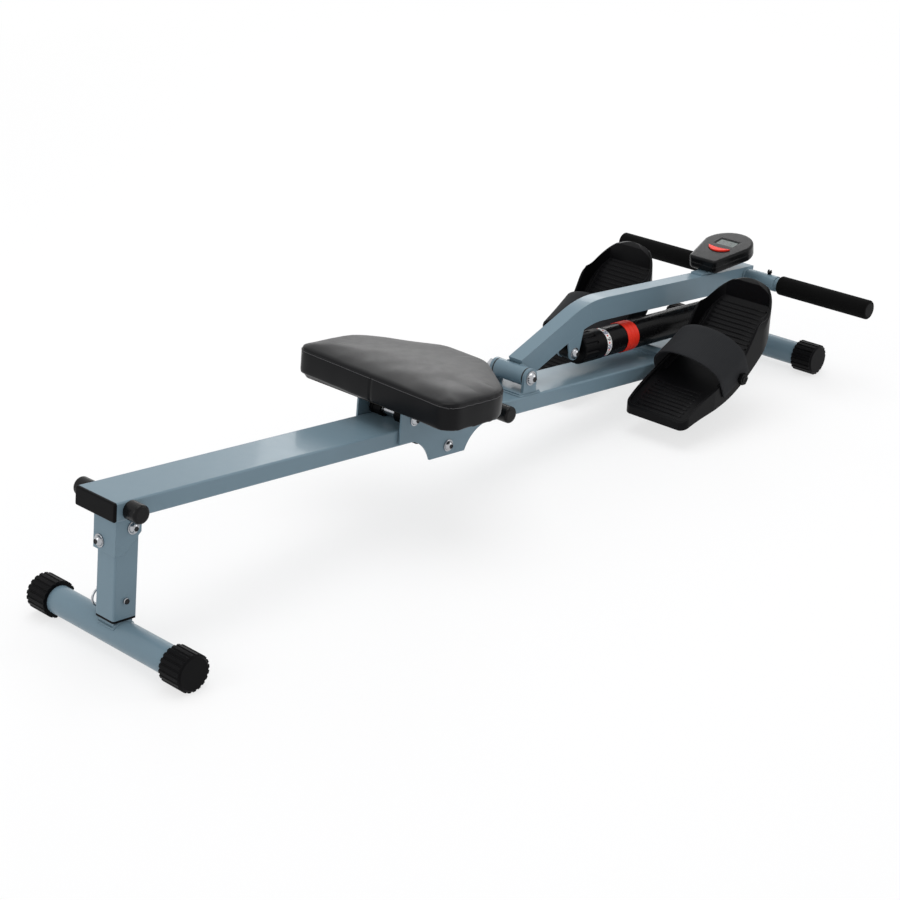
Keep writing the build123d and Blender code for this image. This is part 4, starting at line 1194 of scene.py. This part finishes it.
@dataclass
class NumberRing:
    """The printed scale beside the resistance dial; lengths in millimetres."""

    rack: FinishRack
    start: float = 68.4
    length: float = 12.0
    radius: float = 22.0
    steps: int = 12
    figure_height: float = 12.15
    figure_steps: int = 4
    pair_width: float = 0.62
    ink: float = 0.15
    ink_gap: float = 0.03
    dot: float = 1.5
    dot_sides: int = 16

    def _figure(self, text: str) -> Piece:
        """Makes one flat figure of mesh.

        Args:
            text: What it says.

        Returns:
            The figure, drawn about the origin.
        """
        figure = Bench.add("figure", bpy.ops.object.text_add)
        figure.data.body = text
        figure.data.size = self.figure_height * MM
        figure.data.align_x = "CENTER"
        figure.data.align_y = "CENTER"
        figure.data.resolution_u = self.figure_steps
        Bench.to_mesh("figure")
        if len(text) > 1:
            Bench.put(figure, Matrix.Diagonal((self.pair_width, 1.0, 1.0, 1.0)))
        return figure

    def _wrap(self, piece: Piece, turn: float) -> None:
        """Bends a flat figure round the ring.

        Args:
            piece: The figure, changed in place.
            turn: Its angle round the ring.
        """
        eye = rail_point(*EAR)
        axis = (rail_point(*ROD_PIN) - eye).normalized()
        upward = LEFT.cross(axis)
        middle = eye + axis * (self.start + self.length / 2) * MM
        for vertex in piece.data.vertices:
            angle = turn + vertex.co.x / (self.radius * MM)
            outward = upward * math.cos(angle) + axis.cross(upward) * math.sin(angle)
            vertex.co = middle + axis * vertex.co.y + outward * (self.radius + self.ink_gap) * MM

    def build(self) -> None:
        """Makes the figures and the dots between them."""
        layers: dict[Finish, list[Piece]] = {INK_BLACK: [], INK_BLUE: [], INK_RED: []}
        seed = Bench.add(
            "dot", bpy.ops.mesh.primitive_circle_add,
            vertices=self.dot_sides, radius=self.dot * MM, fill_type="NGON",
        )
        for number in range(self.steps):
            turn = math.tau * number / self.steps
            figure = self._figure(str(number + 1))
            self._wrap(figure, turn)
            layers[INK_BLUE if number % 2 else INK_BLACK].append(figure)
            dot = Bench.copy(seed, "dot", Matrix.Identity(4))
            self._wrap(dot, turn + math.pi / self.steps)
            layers[INK_RED].append(dot)
        Bench.drop(seed)
        for ink, figures in layers.items():
            layer = Bench.join(figures, ink.name.replace("ink", "scale"))
            Bench.modify(layer, "SOLIDIFY", thickness=self.ink * MM, offset=1.0)
            self.rack.settle(layer, ink, "cylinder", "ring_white")


@dataclass
class Display:
    """The monitor's screen surround, which is partly painted shade, and figures; lengths in millimetres on
    the tilted face.
    """

    rack: FinishRack
    reach: float = 1208.0
    height: float = 141.22
    tilt: float = 15.0
    near: float = 60.0
    length: float = 22.0
    half: float = 19.0
    sunk: float = 1.0
    rim_gap: float = 0.05
    # Painted shade: moves the frame's opening so that one side of the dark frame is wider, standing in for
    # the recess's shadow.
    rim_width: float = 2.0
    rim_shift: float = -1.0
    rim_rise: float = 0.7
    rim_round: float = 0.2
    bar: Triple = (4.4, 0.75, 0.12)
    bar_cut: float = 0.3
    bar_gap: float = 0.06
    nought_half: Pair = (4.6, 2.1)
    nought_asides: tuple[float, ...] = (10.5, 3.6, -3.6, -10.5)
    nought_drop: float = 1.2
    flat_share: float = 0.82
    upright_share: float = 0.9

    def __post_init__(self) -> None:
        """Works out the face's own directions."""
        tilt = math.radians(self.tilt)
        self.origin = rail_point(self.reach, self.height)
        self.upward = ALONG * math.cos(tilt) + ABOVE * math.sin(tilt)
        self.outward = ABOVE * math.cos(tilt) - ALONG * math.sin(tilt)

    def _at(self, up: float, aside: float, out: float) -> Vector:
        """Gives a point by its millimetres up the face, to the left, and out of the sunk screen."""
        return self.origin + (self.upward * up + LEFT * aside + self.outward * (out - self.sunk)) * MM

    def _surround(self) -> Piece:
        """Makes the dark stepped frame inside the screen's opening: partly a bezel, partly painted shade for
        the recess's shadow, with one side widened.

        Returns:
            The frame.
        """
        surround = Bench.add("screen_surround", bpy.ops.mesh.primitive_plane_add, size=1.0)
        Bench.put(surround, Matrix.Diagonal((2 * self.half * MM, self.length * MM, 1.0, 1.0)))
        with Bench.editing(surround):
            Bench.pick_all()
            bpy.ops.mesh.inset(thickness=self.rim_width * MM)
            # Painted shade: the opening is moved so that one side of the dark frame is wider.
            bpy.ops.transform.translate(value=(0.0, self.rim_shift * MM, 0.0))
            bpy.ops.mesh.delete(type="FACE")
            Bench.pick_all()
            Bench.pull(0.0, 0.0, self.rim_rise)
            Bench.face_outward()
        Bench.round_off(surround, self.rim_round)
        middle = self._at(self.near + self.length / 2, 0.0, self.rim_gap)
        return Bench.put(surround, place_at(middle, -LEFT, self.outward))

    def _figures(self) -> Piece:
        """Makes the screen's figures from short dark bars: a row of noughts.

        Returns:
            The bars as one piece.
        """
        seed = Bench.block("bar", self.bar)
        with Bench.editing(seed):
            Bench.pick(seed, Element.EDGE, lambda edge: edge.verts[0].co.z * edge.verts[1].co.z < 0)
            bpy.ops.mesh.bevel(offset=self.bar_cut * MM, segments=1)
        middle = self.near + self.length / 2 - self.nought_drop
        tall, wide = self.nought_half
        places = []
        for aside in self.nought_asides:
            for up in (-tall, tall):
                spot = self._at(middle + up, aside, self.bar_gap)
                places.append(place_at(spot, LEFT, self.outward, (self.flat_share, 1.0, 1.0)))
                for side in (-wide, wide):
                    spot = self._at(middle + up / 2, aside + side, self.bar_gap)
                    places.append(place_at(spot, self.upward, self.outward, (self.upright_share, 1.0, 1.0)))
        return Bench.scatter(seed, places, "screen_figures")

    def build(self) -> None:
        """Makes the surround, which is partly painted shade, and the figures."""
        self.rack.settle(self._surround(), BLACK_PLASTIC, "arm", "case_plastic")
        self.rack.settle(self._figures(), INK_BLACK, "arm", "lens")


@dataclass
class LockScrews:
    """The pronged screws that lock the handle tubes; lengths in millimetres."""

    rack: FinishRack
    reach: float = 1329.0
    height: float = 113.0
    aside: float = 55.0
    sides: int = 24
    stem: float = 2.4
    stem_length: float = 4.5
    collar: float = 4.0
    collar_flare: float = 0.1
    collar_height: float = 1.8
    prong: Triple = (2.2, 3.4, 8.0)
    prong_round: float = 0.7
    prong_lift: float = 1.0
    prong_lean: float = 3.0
    gap: float = 2.0

    def _screw(self) -> Piece:
        """Makes one screw.

        Returns:
            The screw, drawn about the origin.
        """
        stem = Bench.cylinder("screw_stem", self.sides, self.stem, self.stem_length)
        wider = self.collar / self.stem
        with Bench.editing(stem):
            Bench.pick_top(stem)
            Bench.pull(0.0, 0.0, self.collar_flare)
            bpy.ops.transform.resize(value=(wider, wider, 1.0))
            Bench.pull(0.0, 0.0, self.collar_height)
        prong = Bench.block("screw_prong", self.prong)
        with Bench.editing(prong):
            Bench.pick_all()
            bpy.ops.mesh.bevel(offset=self.prong_round * MM, segments=2)
        parts = [stem]
        lift = (self.stem_length / 2 + self.prong_lift) * MM
        for way in (-1, 1):
            lean = Matrix.Rotation(way * math.radians(self.prong_lean), 4, "Y")
            shift = Matrix.Translation((way * self.gap * MM, 0.0, lift))
            parts.append(Bench.copy(prong, "screw_prong", shift @ lean))
        Bench.drop(prong)
        screw = Bench.join(parts, "lock_screw")
        Bench.soften(screw)
        return screw

    def build(self) -> None:
        """Makes both screws."""
        spots = [rail_point(self.reach, self.height, side.sign * self.aside) for side in Side]
        places = [place_at(spot, LEFT, ABOVE) for spot in spots]
        screws = Bench.scatter(self._screw(), places, "handle_lock_screws")
        self.rack.settle(screws, BLACK_PLASTIC, "arm", "black_plastic", "handle_screws")


@dataclass
class AxleTrim:
    """The bright sleeves between the carriage's wheels and the caps on the pedal axle; millimetres."""

    rack: FinishRack
    sleeve_half: float = 12.9
    sleeve_radius: float = 6.75
    sleeve_wall: float = 0.2
    sleeve_sides: int = 32
    sleeve_flare: float = 1.06
    cap_aside: float = 183.9
    cap_radius: float = 5.6
    cap_depth: float = 2.0
    cap_sides: int = 28
    cap_round: float = 1.2
    cap_flat: float = 0.999
    cap_inset: float = 1.4
    cap_dish: float = -0.4

    def _sleeve(self) -> Piece:
        """Makes one thin sleeve with rolled ends.

        Returns:
            The sleeve, drawn about the origin.
        """
        sizes = (self.sleeve_sides, self.sleeve_radius, 2 * self.sleeve_half)
        sleeve = Bench.cylinder("axle_sleeve", *sizes, end_fill_type="NOTHING")
        with Bench.editing(sleeve):
            Bench.pick(sleeve, Element.EDGE, lambda edge: edge.is_boundary)
            bpy.ops.mesh.extrude_edges_move()
            bpy.ops.transform.resize(value=(self.sleeve_flare, self.sleeve_flare, 1.0))
            Bench.face_outward()
        Bench.modify(sleeve, "SOLIDIFY", thickness=self.sleeve_wall * MM, offset=1.0)
        Bench.soften(sleeve)
        return sleeve

    def _cap(self) -> Piece:
        """Makes one domed and dished cap.

        Returns:
            The cap, drawn about the origin.
        """
        cap = Bench.cylinder("axle_cap", self.cap_sides, self.cap_radius, self.cap_depth)
        with Bench.editing(cap):
            Bench.pick_top(cap)
            bpy.ops.mesh.bevel(offset=self.cap_round * MM, segments=4)
            Bench.pick_top(cap, self.cap_flat)
            bpy.ops.mesh.inset(thickness=self.cap_inset * MM)
            bpy.ops.transform.translate(value=(0.0, 0.0, self.cap_dish * MM))
        Bench.soften(cap)
        return cap

    def build(self) -> None:
        """Makes the sleeves and the caps."""
        seed = self._sleeve()
        for end, axle in (("rear", REAR_AXLE), ("front", FRONT_AXLE)):
            sleeve = Bench.copy(seed, end + "_axle_sleeve", place_at(rail_point(*axle), ALONG, LEFT))
            self.rack.settle(sleeve, ZINC, end + "_roller", "zinc")
        Bench.drop(seed)
        seed = self._cap()
        for side in Side:
            middle = rail_point(*PEDAL_AXLE, side.sign * self.cap_aside)
            cap = Bench.copy(seed, side.label + "_axle_cap", place_at(middle, ALONG, LEFT * side.sign))
            self.rack.settle(cap, BLACK_PLASTIC, "frame", "black_plastic")
        Bench.drop(seed)


@dataclass
class BoltSockets:
    """The hexagon sockets in the domed bolt heads, coloured dark as painted shade; lengths in millimetres."""

    rack: FinishRack
    head_share: float = 0.9
    dome_share: float = 0.7
    washer: float = 1.5
    socket_share: float = 0.42
    sides: int = 6
    depth: float = 1.1
    rim: float = 0.25
    hollow: float = 0.5
    proud: float = 0.1

    def _socket(self, shank: float) -> Piece:
        """Makes the socket of one size of bolt.

        Args:
            shank: The bolt's diameter.

        Returns:
            The socket, drawn about the origin.
        """
        socket = Bench.cylinder("socket", self.sides, shank * self.socket_share, self.depth)
        with Bench.editing(socket):
            Bench.pick_top(socket)
            bpy.ops.mesh.inset(thickness=self.rim * MM)
            Bench.pull(0.0, 0.0, -self.hollow)
        return socket

    def _heads(self) -> list[tuple[str, str, Vector, Vector, float]]:
        """Lists the domed heads.

        Returns:
            Each socket's name, its body, the head's tip, which way it faces, and the shank's diameter.
        """
        # Name, body, middle of the shank, which way the head faces, half the width held, and the shank.
        bolts = (
            ("leg_side", "frame", rail_point(43.0, -45.0), -LEFT, 21.2, M8),
            ("leg_rear", "frame", rail_point(36.4, -66.0, 9.0), -ALONG, 19.6, M8),
            ("axle_rear", "carriage", rail_point(*REAR_AXLE), -LEFT, AXLE_GRIP, M8),
            ("axle_front", "carriage", rail_point(*FRONT_AXLE), -LEFT, AXLE_GRIP, M8),
            ("axle_under", "carriage", rail_point(*UNDER_AXLE), -LEFT, AXLE_GRIP, M8),
            ("hinge", "frame", rail_point(*HINGE), -LEFT, HINGE_GRIP, M10),
            ("ear", "arm", rail_point(*EAR), -LEFT, EAR_GRIP, M8),
            ("rod", "frame", rail_point(*ROD_PIN), -LEFT, ROD_GRIP, M8),
        )
        low, high = (Vector(corner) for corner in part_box("lock_pin"))
        middle = (low + high) / 2
        pin_tip = Vector((middle.x, low.y - self.proud * MM, middle.z))
        heads = [("pin_tip_socket", "leg_pin", pin_tip, -LEFT, PIN)]
        for name, body, centre, outward, grip, shank in bolts:
            tip = centre + outward * (grip + self.washer + shank * self.head_share * self.dome_share) * MM
            heads.append((name + "_bolt_socket", body, tip, outward, shank))
        return heads

    def build(self) -> None:
        """Makes a socket in every domed head, darkened as painted shade for its hollow."""
        seeds = {shank: self._socket(shank) for shank in (M8, PIN, M10)}
        for name, body, tip, outward, shank in self._heads():
            across = ABOVE if abs(outward.dot(ABOVE)) < FACING else ALONG
            place = place_at(tip + outward * self.proud * MM, across, outward)
            # The dark socket finish is painted shade.
            self.rack.settle(Bench.copy(seeds[shank], name, place), SOCKET_SHADE, body, "zinc")
        for seed in seeds.values():
            Bench.drop(seed)


@dataclass
class Welds:
    """Rippled weld beads where the frame's tubes and plates meet; lengths in millimetres."""

    rack: FinishRack
    bead: Triple = (2.3, 2.7, 1.8)
    bead_sides: tuple[int, int] = (8, 6)
    bead_nose: float = 0.5
    bead_taper: Triple = (1.0, 0.85, 0.8)
    pitch: float = 2.1
    ring_steps: int = 24
    plate_length: float = 44.0
    plate_gap: float = 0.4
    post_half: float = 14.9
    post_steps: int = 8
    post_reach: float = 38.0
    foot_radius: float = 19.0
    foot_drop: float = 188.81
    front_row: Triple = (1349.2, 0.3, 37.0)
    front_arc: Arc = (38.2, 19.2, 140.0, 212.0)
    handle_arc: Arc = (12.7, 13.0, 0.0, 360.0)
    pivot_aside: float = 12.8
    pivot_radius: float = 14.3
    pivot_spread: float = 62.0
    arm_root: Pair = (155.0, 72.5)

    def _bead(self) -> Piece:
        """Makes one bead, thinner at its leading end.

        Returns:
            The bead, drawn about the origin.
        """
        around, rings = self.bead_sides
        seed = Bench.add(
            "bead", bpy.ops.mesh.primitive_uv_sphere_add, segments=around, ring_count=rings, radius=1.0
        )
        Bench.put(seed, scale_to(self.bead))
        with Bench.editing(seed):
            Bench.pick(seed, Element.VERT, lambda vert: vert.co.x > self.bead_nose * MM)
            bpy.ops.transform.resize(value=self.bead_taper)
        Bench.soften(seed, Shade.SOFT)
        return seed

    def _spaced(self, line: Sequence[Vector]) -> list[Matrix]:
        """Spaces beads along a line.

        Args:
            line: The line's corners.

        Returns:
            A placing matrix for each bead.
        """
        places = []
        for spot, run in walk(line, self.pitch * MM):
            outward = ABOVE if abs(run.normalized().dot(ABOVE)) < FACING else ALONG
            places.append(place_at(spot, run, outward))
        return places

    def _arcs(self, axis: Pair, aside: float, radius: float, first: float, last: float) -> list[list[Vector]]:
        """Gives the same arc round a cross axis on both sides.

        Args:
            axis: The axis's place on the rail.
            aside: The arcs' distance from the middle.
            radius: Their radius.
            first: Their first angle in degrees, from forward towards up.
            last: Their last angle.

        Returns:
            The points of each arc.
        """
        reach, height = axis
        arcs = []
        for side in Side:
            points = []
            for step in range(self.ring_steps + 1):
                angle = math.radians(first + (last - first) * step / self.ring_steps)
                forward, up = radius * math.cos(angle), radius * math.sin(angle)
                points.append(rail_point(reach + forward, height + up, side.sign * aside))
            arcs.append(points)
        return arcs

    def _plate(self, axis: Pair, half: float) -> list[Vector]:
        """Gives the corners round a bracket's foot on the rail's top."""
        return [rail_point(axis[0] + x * self.plate_length / 2, self.plate_gap, y * half) for x, y in SQUARE]

    def _post(self) -> list[Vector]:
        """Gives the line round the foot post where it enters the rear stabilizer.

        Returns:
            The points, ending where they start.
        """
        points = []
        for (x_a, y_a), (x_b, y_b) in zip(SQUARE, SQUARE[1:]):
            for step in range(self.post_steps):
                share = step / self.post_steps
                x_now = self.post_half * (x_a + (x_b - x_a) * share)
                y_now = self.post_half * (y_a + (y_b - y_a) * share)
                rise = math.sqrt(self.foot_radius ** 2 - x_now ** 2)
                points.append(rail_point(self.post_reach + x_now, rise - self.foot_drop, y_now))
        return points + points[:1]

    def build(self) -> None:
        """Makes every weld."""
        forward, up = self.arm_root
        arm_angle = math.degrees(math.atan2(up, forward))
        reach, height, half = self.front_row
        front = [rail_point(reach, height, aside) for aside in (-half, half)]
        pivot = (arm_angle - self.pivot_spread, arm_angle + self.pivot_spread)
        rows = (
            ("post_weld", "frame", [self._post()]),
            ("hinge_weld", "frame", [self._plate(HINGE, HINGE_GRIP)]),
            ("rod_bracket_weld", "frame", [self._plate(ROD_PIN, ROD_GRIP)]),
            ("front_weld", "frame", [front] + self._arcs(FRONT_FOOT, *self.front_arc)),
            ("handle_weld", "arm", self._arcs(HANDLE, *self.handle_arc)),
            ("pivot_weld", "arm", self._arcs(HINGE, self.pivot_aside, self.pivot_radius, *pivot)),
        )
        seed = self._bead()
        for name, body, lines in rows:
            places = [place for line in lines for place in self._spaced(line)]
            self.rack.settle(Bench.scatter(seed, places, name, keep=True), PAINT, body, "frame_paint")
        Bench.drop(seed)


@dataclass(frozen=True)
class Lamp:
    """One soft lamp; its place, its target and its two sides in metres, its power in watts."""

    name: str
    place: Triple
    target: Triple
    size: Pair
    power: float

    def hang(self) -> None:
        """Puts the lamp into the scene."""
        data = bpy.data.lights.new(self.name, "AREA")
        data.shape = "RECTANGLE"
        data.size, data.size_y = self.size
        data.energy = self.power
        lamp = Bench.link(self.name, data)
        lamp.location = self.place
        way = Vector(self.target) - Vector(self.place)
        lamp.rotation_euler = way.to_track_quat("-Z", "Y").to_euler()


LAMPS = (
    Lamp("overhead", (0.3, 0.3, 4.0), (0.1, 0.0, 0.1), (3.2, 3.2), 68.0),
    Lamp("side_box", (-3.6, 0.9, 2.2), (0.0, 0.0, 0.1), (1.4, 1.8), 24.0),
    Lamp("front_fill", (2.6, -2.8, 1.6), (0.5, 0.0, 0.15), (1.4, 1.4), 16.0),
    Lamp("back_box", (2.9, 2.3, 1.45), (-0.1, 0.0, 0.2), (1.5, 1.0), 15.7),
)


@dataclass
class Studio:
    """Floor, light and camera; lengths in metres, angles in degrees."""

    camera_place: Triple = (-1.8987, -1.7112, 1.2396)
    heading: float = 47.06
    down: float = 25.10
    focal_pixels: float = 1930.1
    frame_pixels: float = 900.0
    sensor: float = 36.0
    far_clip: float = 200.0
    white: tuple[float, ...] = (1.0, 1.0, 1.0, 1.0)
    world_light: float = 0.62
    floor_size: float = 60.0
    floor_colour: tuple[float, ...] = (0.93, 0.93, 0.94, 1.0)
    floor_roughness: float = 0.6
    floor_specular: float = 0.15
    floor_lift: float = 0.7
    fade_start: float = 1.1
    fade_end: float = 3.2

    def _camera(self) -> None:
        """Sets the camera at the photograph's angle."""
        data = bpy.data.cameras.new("camera")
        data.sensor_width = self.sensor
        data.lens = self.focal_pixels / self.frame_pixels * self.sensor
        data.clip_end = self.far_clip
        camera = Bench.link("camera", data)
        heading, down = math.radians(self.heading), math.radians(self.down)
        level = math.cos(down)
        look = Vector((level * math.sin(heading), level * math.cos(heading), -math.sin(down)))
        camera.location = self.camera_place
        camera.rotation_euler = look.to_track_quat("-Z", "Y").to_euler()
        bpy.context.scene.camera = camera

    def _world(self) -> None:
        """Fills the room with even light; it looks white where it is seen or mirrored."""
        world = bpy.data.worlds.new("room")
        bpy.context.scene.world = world
        world.use_nodes = True
        nodes = Nodes(world.node_tree)
        background = world.node_tree.nodes["Background"]
        strength = nodes.seen() * (1.0 - self.world_light) + self.world_light
        nodes.feed(background.inputs["Strength"], strength)
        nodes.feed(background.inputs["Color"], self.white)

    def _floor(self) -> None:
        """Lays the pale floor, which keeps the shadow and goes to white away from the machine."""
        floor = Bench.add("floor", bpy.ops.mesh.primitive_plane_add, size=self.floor_size)
        palette = Palette("pale_floor")
        palette.coat_of(
            Base_Color=self.floor_colour,
            Roughness=self.floor_roughness,
            Specular_IOR_Level=self.floor_specular,
        )
        glow = palette.node("Emission", Color=self.white, Strength=1.0)
        where = palette.node("TexCoord").at("Object")
        away = palette.node("VectorMath", {"operation": "LENGTH"}, _0=where).at("Value")
        far = palette.node("MapRange", _0=away, _1=self.fade_start, _2=self.fade_end)
        share = palette.seen() * (far * (1.0 - self.floor_lift) + self.floor_lift)
        shader = Value(palette.tree, palette.shader.outputs[0])
        mixed = palette.node("MixShader", _0=share, _1=shader, _2=glow)
        palette.feed(palette.tree.nodes["Material Output"].inputs["Surface"], mixed)
        floor.data.materials.append(palette.material)

    def build(self) -> None:
        """Makes the studio."""
        self._camera()
        self._world()
        self._floor()
        for lamp in LAMPS:
            lamp.hang()
        bpy.context.scene.view_settings.view_transform = "Standard"
        log.info("studio ready")


def main() -> None:
    """Builds every piece in order."""
    logging.basicConfig(level=logging.INFO, format="%(message)s")
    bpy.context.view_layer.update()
    rack = FinishRack()
    rack.coat_nodes()
    SeatCushion(rack).build()
    for side in Side:
        Pedal(rack, side).build()
    for trim in (NumberRing, Display, LockScrews, AxleTrim, BoltSockets, Welds):
        trim(rack).build()
    Studio().build()


if __name__ == "__main__":
    main()
